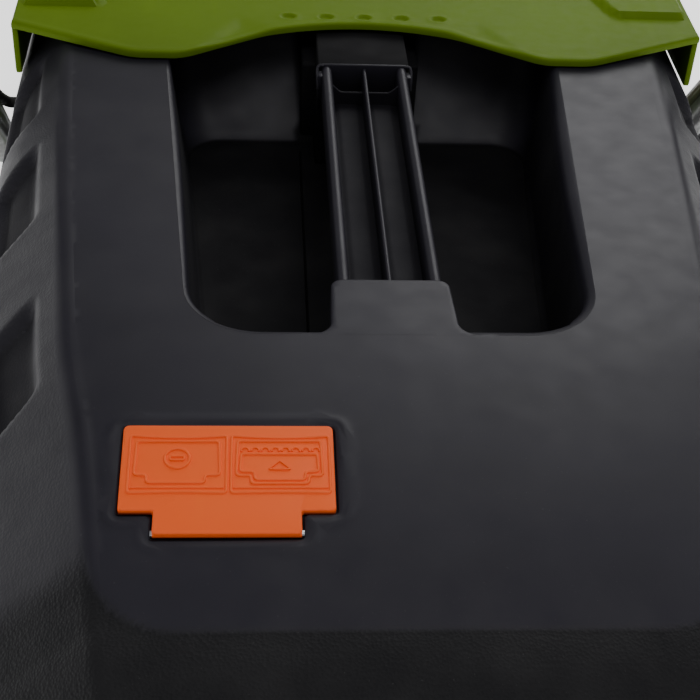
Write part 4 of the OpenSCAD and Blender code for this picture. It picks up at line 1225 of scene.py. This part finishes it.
def pad(x, y):
    """Height share of the two raised pads with rounded corners, each leaning outwards at its rear."""
    inner = SEAT_X - 0.30 * (min(y, 260) - 229)
    qx = abs(abs(x) - (inner + PAD_OUTER) / 2) - (PAD_OUTER - inner) / 2 + PAD_CORNER
    qy = abs(y - (PAD_REAR + PAD_FRONT) / 2) - (PAD_FRONT - PAD_REAR) / 2 + PAD_CORNER
    away = math.hypot(max(qx, 0), max(qy, 0)) + min(max(qx, qy), 0) - PAD_CORNER
    return ease(-away / 2.6)


def facet(x, y):
    """Depth of the shallow folded facets beside the middle of the trailing edge."""
    past = abs(x) - FACET_X
    ahead = FACET_Y - y
    return FACET_DEEP * ease(min(0.62 * past + ahead, ahead - 1.65 * past) / 16)


def flap_top(x, y):
    """Height of the flap's upper face."""
    z = FLAP_LOW + FLAP_THICK + PAD_TALL * pad(x, y) - facet(x, y)
    z += 0.35 * math.exp(-((y - trail(x) - 3.0) / 1.6) ** 2)
    for k in DIMPLES:
        away = math.hypot((x - DIMPLE_X - DIMPLE_PITCH * k) / DIMPLE_STRETCH, y - DIMPLE_Y)
        z -= 1.3 * ease((3.1 - away) / 1.3)
        z += 0.25 * math.exp(-((away - 3.7) / 0.7) ** 2)
    for s in (-1, 1):
        z -= 3.0 * ease((SEAT_RADIUS - math.hypot(x - s * SEAT_X, y - SEAT_Y)) / 1.2)
    return z


def flap_plate():
    """Top, rounded rim and underside of the flap, from one outline and a grid of points in plan."""
    xs = np.linspace(-FLAP_HALF, FLAP_HALF, 160)
    ys = np.linspace(trail(FLAP_HALF), FLAP_END, 60)
    rim = [(x, trail(x)) for x in xs] + [(FLAP_HALF, y) for y in ys[1:]]
    rim += [(x, FLAP_END) for x in xs[::-1][1:]] + [(-FLAP_HALF, y) for y in ys[::-1][1:-1]]
    points = np.array(rim)
    ahead = np.roll(points, -1, axis=0) - np.roll(points, 1, axis=0)
    inward = np.stack([-ahead[:, 1], ahead[:, 0]], axis=1)
    inward /= np.linalg.norm(inward, axis=1, keepdims=True)

    def ring(inset, height):
        return [(*(p + v * inset), height(*(p + v * RIM_ROUND))) for p, v in zip(points, inward)]

    n = len(points)
    edges = [(i, (i + 1) % n) for i in range(n)]
    grid = [Vector(p) for p in points + inward * RIM_ROUND]
    for inset in (2.6, 4.0, 5.8):
        grid += [Vector(p) for p in points + inward * inset if p[1] < FLAP_END - 3]
    for y in np.linspace(184, FLAP_END - 2, 88):
        grid += [Vector((x, y)) for x in np.linspace(-FLAP_HALF + 6, FLAP_HALF - 6, 146) if y > trail(x) + 7]
    for k in DIMPLES:
        centre = DIMPLE_X + DIMPLE_PITCH * k
        for r in (0.8, 1.7, 2.3, 3.0, 3.7, 4.6):
            grid += [Vector((x * DIMPLE_STRETCH + centre, y)) for x, y in arc(0, DIMPLE_Y, r, 0, 337.5, 15)]
    for s in (-1, 1):
        for r in (5.0, 6.8, 7.5, SEAT_RADIUS, 9.2):
            grid += [Vector(p) for p in arc(s * SEAT_X, SEAT_Y, r, 0, 348, 29)]
    flat, _, faces, _, _, _ = delaunay_2d_cdt(grid, edges, [], 1, PLAN_REACH)
    top = mesh_from("flap_top", [(p.x, p.y, flap_top(p.x, p.y)) for p in flat], [tuple(f) for f in faces])
    rings = [ring(inset, lambda x, y: flap_top(x, y) - 1.4 * (1 - share))
             for inset, share in ((RIM_ROUND, 1.0), (0.9, 0.88), (0.35, 0.62), (0.0, 0.0))]
    rings += [ring(0.0, lambda x, y: FLAP_LOW + 0.5), ring(0.5, lambda x, y: FLAP_LOW)]
    side = rings_mesh("flap_rim", rings, capped=False)
    return [top, side, mesh_from("flap_under", rings[-1], [tuple(range(n))])]


def flap_side(s):
    """Hanging side of the flap with a rounded lower rear corner."""
    front = FLAP_END - 1
    outline = arc(SIDE_START + 2, SIDE_LOW + 2, 2.0, 270, 180, 5)
    outline += [(SIDE_START, 2.0), (front, 2.0), (front, SIDE_LOW)]
    cy, cz = 300.0, -8.0
    rings = [[(s * (FLAP_HALF - x), cy + (y - cy) * (1 - inset / 90), cz + (z - cz) * (1 - inset / 11))
              for y, z in outline] for x, inset in ((0.0, 0.35), (0.35, 0.0), (2.5, 0.0), (2.9, 0.3))]
    return rings_mesh("flap_side", rings)


def flap_knuckles():
    """Hinge knuckles, the web that carries them and the stiffeners under the flap."""
    round_part = arc(HINGE_Y, HINGE_Z, KNUCKLE_RADIUS, -90, 110, 14)
    round_part += arc(HINGE_Y, HINGE_Z, KNUCKLE_RADIUS, 110, 145, 3)
    outline = round_part + [(HINGE_Y - 14, 4.1), (HINGE_Y - 14, FLAP_LOW)]
    parts = []
    for x in (-134, -115, 106, 125):
        rings = [[(x + dx, y, z) for y, z in outline] for dx in (0.1, 8.9)]
        parts.append(bevelled(rings_mesh("knuckle", rings), 0.5))
    parts.append(box_mesh("web", (-100, HINGE_Y - 16, FLAP_LOW), (100, HINGE_Y - 6, FLAP_LOW + 3), 0.8))
    low, high = FLAP_LOW - 3, FLAP_LOW + 1
    for x in np.linspace(-90, 90, 7):
        parts.append(box_mesh("stiffener", (x - 1, 250, low), (x + 1, HINGE_Y - 14, high), 0.4))
    return parts


def rear_flap():
    """Green flap that rests on the collector, or shuts the chute when the collector is off."""
    mesh = joined("rear_flap", flap_plate() + [flap_side(s) for s in (-1, 1)] + flap_knuckles())
    piece("rear_flap.fine", mesh, "flap_green", "rear_flap", ["rear_flap"], sharp_deg=40)


# ---------- tyres and grip ----------

METRES = Matrix.Diagonal((MM, MM, MM, 1))
TREAD_DEEP = 1.7
TREAD_COUNT = {"rear": 40, "front": 34}


def tyre(side, end):
    """Tyre with a blocky tread, side ribs and a bead; it turns about its wheel's axis."""
    node = f"tyre_{end}_{side}"
    low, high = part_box(node)
    centre = (Vector(low) + Vector(high)) / 2 / MM
    radius = (high.z - low.z) / 2 / MM
    half = (high.x - low.x) / 2 / MM
    rim = radius - 15
    wall = [(rim, 4), (rim + 1.2, 1.6), (rim + 4, 0), (rim + 5.2, 0.9), (rim + 6.4, 0), (rim + 9, 0.2),
            (radius - 4.2, 1.0), (radius - 1.6, 3.4)]
    section = [(r, x - half) for r, x in wall]
    far_wall = [(r, -x) for r, x in section[::-1]]
    section += [(radius, x) for x in np.linspace(5 - half, half - 5, 17)] + far_wall

    def cut(k, r, x):
        """Depth of the tread's grooves and of the notches on its shoulders."""
        if r >= radius - TREAD_DEEP:
            grooved = (k / 8 + 0.45 * abs(x) / half) % 1.0 < 0.30 or abs(abs(x) - half * 0.34) < 1.3
            return TREAD_DEEP if grooved else 0.0
        return 0.6 if r >= radius - 4.5 and (k // 4) % 2 else 0.0

    rings = []
    steps = TREAD_COUNT[end] * 8
    for k in range(steps):
        a = 2 * math.pi * k / steps
        outwards = Vector((0, math.cos(a), math.sin(a)))
        rings.append([centre + Vector((x, 0, 0)) + outwards * (r - cut(k, r, x)) for r, x in section])
    rings.append(rings[0])
    mesh = rings_mesh(node, rings, METRES, capped=False, weld_mm=0.01)
    piece(node + ".fine", mesh, "tyre_rubber", f"{end}_{side}_wheel", [node], sharp_deg=30)


# the handle is drawn in the machine's own millimetres, where the lower fold lies at FOLD
HANDLE_ANGLE = math.radians(49)
UPPER_JOINT = Vector((0, -497.105, 536.525))
FOLD = Vector((0, -215.0, 212.0))
SHIFT_Y = JOINTS["lower_fold"]["pos_m"][1] / MM - FOLD.y
MACHINE = METRES @ Matrix.Translation((0, SHIFT_Y, 0))
TUBE_AHEAD = Vector((0, -math.cos(HANDLE_ANGLE), math.sin(HANDLE_ANGLE)))
TUBE_UP = Vector((0, math.sin(HANDLE_ANGLE), math.cos(HANDLE_ANGLE)))
UPPER_LENGTH = 610.0
TUBE_RADIUS = 11.0
GRIP_HALF = 125.0
GRIP_THICK = 4.7


def beside(start, along, x, up):
    """A point along one of the handle's tubes."""
    return Vector((x, start.y, start.z)) + TUBE_AHEAD * along + TUBE_UP * up


def foam_grip():
    """Foam sleeve with softly ringed ends."""
    path = [beside(UPPER_JOINT, UPPER_LENGTH, x, 0) for x in np.linspace(-GRIP_HALF, GRIP_HALF, 101)]

    def radius(share):
        x = (abs(share - 0.5) * 2 - 1) * GRIP_HALF
        full = TUBE_RADIUS + GRIP_THICK + 0.12 * math.sin(share * 46)
        if x > -9:
            full -= 0.7 * (0.5 + 0.5 * math.cos(x * 2 * math.pi / 3))
        return full - 2.2 * ease((x + 2.5) / 2.5)

    mesh = swept("foam_grip", path, radius, MACHINE, sides=40)
    piece("foam_grip.fine", mesh, "foam_black", "upper_handle", ["foam_grip"], sharp_deg=60)


# ---------- motor lead ----------

LEAD_RADIUS = 3.5
LEAD_UP = TUBE_RADIUS + LEAD_RADIUS + 0.6
LOWER_X = -217.0
UPPER_X = -191.0
BOX_AT = UPPER_LENGTH - 190
CROSS_UP = 19.5
STRAP_HALF = 3.0


def lead_paths():
    """Centre lines of the lead: from the hood up the lower tube, and from there up to the switch box."""
    first = [(-102, -47, 196.5), (-116, -51, 196), (-130, -58, 192), (-146, -72, 188), (-160, -94, 187),
             (-172, -120, 192), (-181, -148, 205), (-187, -174, 221), (-191.5, -196, 231.5),
             (-197, -209, 236), (-203, -212, 237), (-208.6, -212, 237), (-212, -215.5, 241),
             beside(FOLD, 36, -213.5, LEAD_UP + 2)]
    first += [beside(FOLD, d, LOWER_X + 3, LEAD_UP) for d in range(60, 221, 40)]
    second = [beside(FOLD, d, LOWER_X + 3, LEAD_UP) for d in range(220, 400, 40)]
    second += [beside(UPPER_JOINT, along, x, up) for along, x, up in (
        (-26, LOWER_X + 4, LEAD_UP + 2), (-8, LOWER_X + 6, CROSS_UP), (0, -206, 20), (0, -200.5, 20),
        (8, UPPER_X - 6, CROSS_UP), (26, UPPER_X - 2, LEAD_UP + 1))]
    second += [beside(UPPER_JOINT, d, UPPER_X + 3, LEAD_UP) for d in range(60, int(BOX_AT) - 89, 40)]
    second += [beside(UPPER_JOINT, BOX_AT - 62, UPPER_X + 8, LEAD_UP + 1),
               beside(UPPER_JOINT, BOX_AT - 45.1, UPPER_X + 14, LEAD_UP + 1)]
    return first, second


def lead_piece(name, path, nodes):
    """A stretch of the lead that bends where it passes a fold."""
    mesh = swept(name, smooth_path(path, 10), LEAD_RADIUS, MACHINE, sides=16)
    made = piece(name, mesh, "lead_black", None, nodes, sharp_deg=60)
    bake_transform(made)


def motor_lead():
    """The lead in its two bending stretches, and the straps that tie it to the tubes."""
    first, second = lead_paths()
    lead_piece("motor_lead.low", first,
               ["motor_lead_deck"])
    lead_piece("motor_lead.high", second,
               ["motor_lead_lower", "motor_lead_upper"])
    for body, start, distances, x in (("lower_handle", FOLD, (100, 260), LOWER_X),
                                      ("upper_handle", UPPER_JOINT, (120, 250), UPPER_X)):
        for k, d in enumerate(distances):
            lead_clip(start, d, x, body, f"lead_clip.{body}.{k}")


def lead_clip(start, distance, x, body, name):
    """Strap that ties the lead to a tube."""
    def loop(gap):
        return arc(0, 0, TUBE_RADIUS + gap, 150, 390, 30) + arc(3, LEAD_UP, LEAD_RADIUS + gap, 10, 170, 12)

    inner, outer = loop(0.15), loop(1.3)
    rings = []
    for along, ring in ((-STRAP_HALF, inner), (-STRAP_HALF, outer), (-2.6, outer), (2.6, outer),
                        (STRAP_HALF, outer), (STRAP_HALF, inner)):
        rings.append([beside(start, distance + along, x + px, pz) for px, pz in ring])
    rings.append(rings[0])
    mesh = rings_mesh(name, rings, MACHINE, capped=False, weld_mm=0.01)
    piece(name, mesh, "chute_black", body, (), 40)


# ---------- all pieces ----------

collector_top()
carry_handle()
fill_indicator()
rear_flap()
for end in ("rear", "front"):
    for side in ("left", "right"):
        tyre(side, end)
foam_grip()
motor_lead()

# the rest keeps its CAD shape, with its edges rounded as they would be moulded, pressed or turned
USUAL_BEVEL = 0.5
BEVELS = {"deck_shell": 0.8, "motor_hood": 0.8, "discharge_chute": 0.8, "collector_tub": 0.7,
          "motor_stator": 0.3, "rotor_core": 0.3, "blade": 0.25, "switch_box": 2.0, "switch_box_base": 1.6,
          "safety_button": 1.2, "height_knob": 1.5, "lower_knobs": 1.2, "upper_knobs": 1.2,
          "wheel_rear_left": 0.7, "wheel_rear_right": 0.7, "wheel_front_left": 0.7, "wheel_front_right": 0.7,
          "indicator_pins": 0.2, "flap_spring": 0.3}
for node, made in frame["nodes"].items():
    if not made.hide_render:
        refined(node, BEVELS.get(node, USUAL_BEVEL))


# ---------- camera, floor and light ----------

PITCH = math.radians(38.889)
YAW = math.radians(5.186)
ROLL = math.radians(3.64)
CAMERA_AT = (-57.1, -470.8, 345.2)
FLOOR_REACH = 40.0
LIT_MIDDLE = Vector((0, -0.2, 0.36))


def aim_camera():
    """Looks down at the collector from behind, a little rolled."""
    ahead = Vector((math.sin(YAW) * math.cos(PITCH), math.cos(YAW) * math.cos(PITCH), -math.sin(PITCH)))
    level = Vector((math.cos(YAW), -math.sin(YAW), 0))
    upright = level.cross(ahead)
    right = level * math.cos(ROLL) + upright * math.sin(ROLL)
    up = upright * math.cos(ROLL) - level * math.sin(ROLL)
    data = bpy.data.cameras.new("camera")
    data.lens = 75
    data.sensor_width = 36
    data.clip_start = 0.01
    camera = show(bpy.data.objects.new("camera", data))
    basis = Matrix((right, up, -ahead)).transposed().to_4x4()
    camera.matrix_world = Matrix.Translation(COLLECTOR @ Vector(CAMERA_AT)) @ basis
    bpy.context.scene.camera = camera


def lay_floor():
    """A plain pale floor."""
    mesh = bpy.data.meshes.new("floor")
    corners = [(x * FLOOR_REACH, y * FLOOR_REACH, 0) for x, y in ((-1, -1), (1, -1), (1, 1), (-1, 1))]
    mesh.from_pydata(corners, [], [(0, 1, 2, 3)])
    s = Shader("floor_pale", 0.9, specular=0.2)
    tone = s.mix(s.noise(900.0, 2.0), (0.84, 0.84, 0.84), (0.88, 0.88, 0.88))
    s.surface.inputs["Emission Color"].default_value = (1.0, 1.0, 1.0, 1.0)
    s.surface.inputs["Emission Strength"].default_value = 1.1
    mesh.materials.append(s.done(tone))
    show(bpy.data.objects.new("floor", mesh))


def lamp(name, at, size, watts):
    """A soft rectangular lamp that looks at the middle of the machine."""
    data = bpy.data.lights.new(name, "AREA")
    data.shape = "RECTANGLE"
    data.size, data.size_y = size
    data.energy = watts
    made = show(bpy.data.objects.new(name, data))
    made.location = at
    made.rotation_mode = "QUATERNION"
    made.rotation_quaternion = (LIT_MIDDLE - Vector(at)).to_track_quat("-Z", "Y")


def light():
    """Soft studio light: a pale surround, a large key ahead on the right, a fill and a lamp behind."""
    world = bpy.data.worlds.new("studio")
    bpy.context.scene.world = world
    world.use_nodes = True
    sky = world.node_tree.nodes["Background"]
    sky.inputs["Color"].default_value = (1.0, 1.0, 1.0, 1.0)
    sky.inputs["Strength"].default_value = 0.28
    lamp("key", (1.1, 1.8, 2.1), (2.2, 1.9), 42)
    lamp("fill", (-2.3, 0.5, 1.3), (1.6, 1.6), 8)
    lamp("rear", (0.3, -1.3, 2.6), (1.6, 1.2), 25)


aim_camera()
lay_floor()
light()
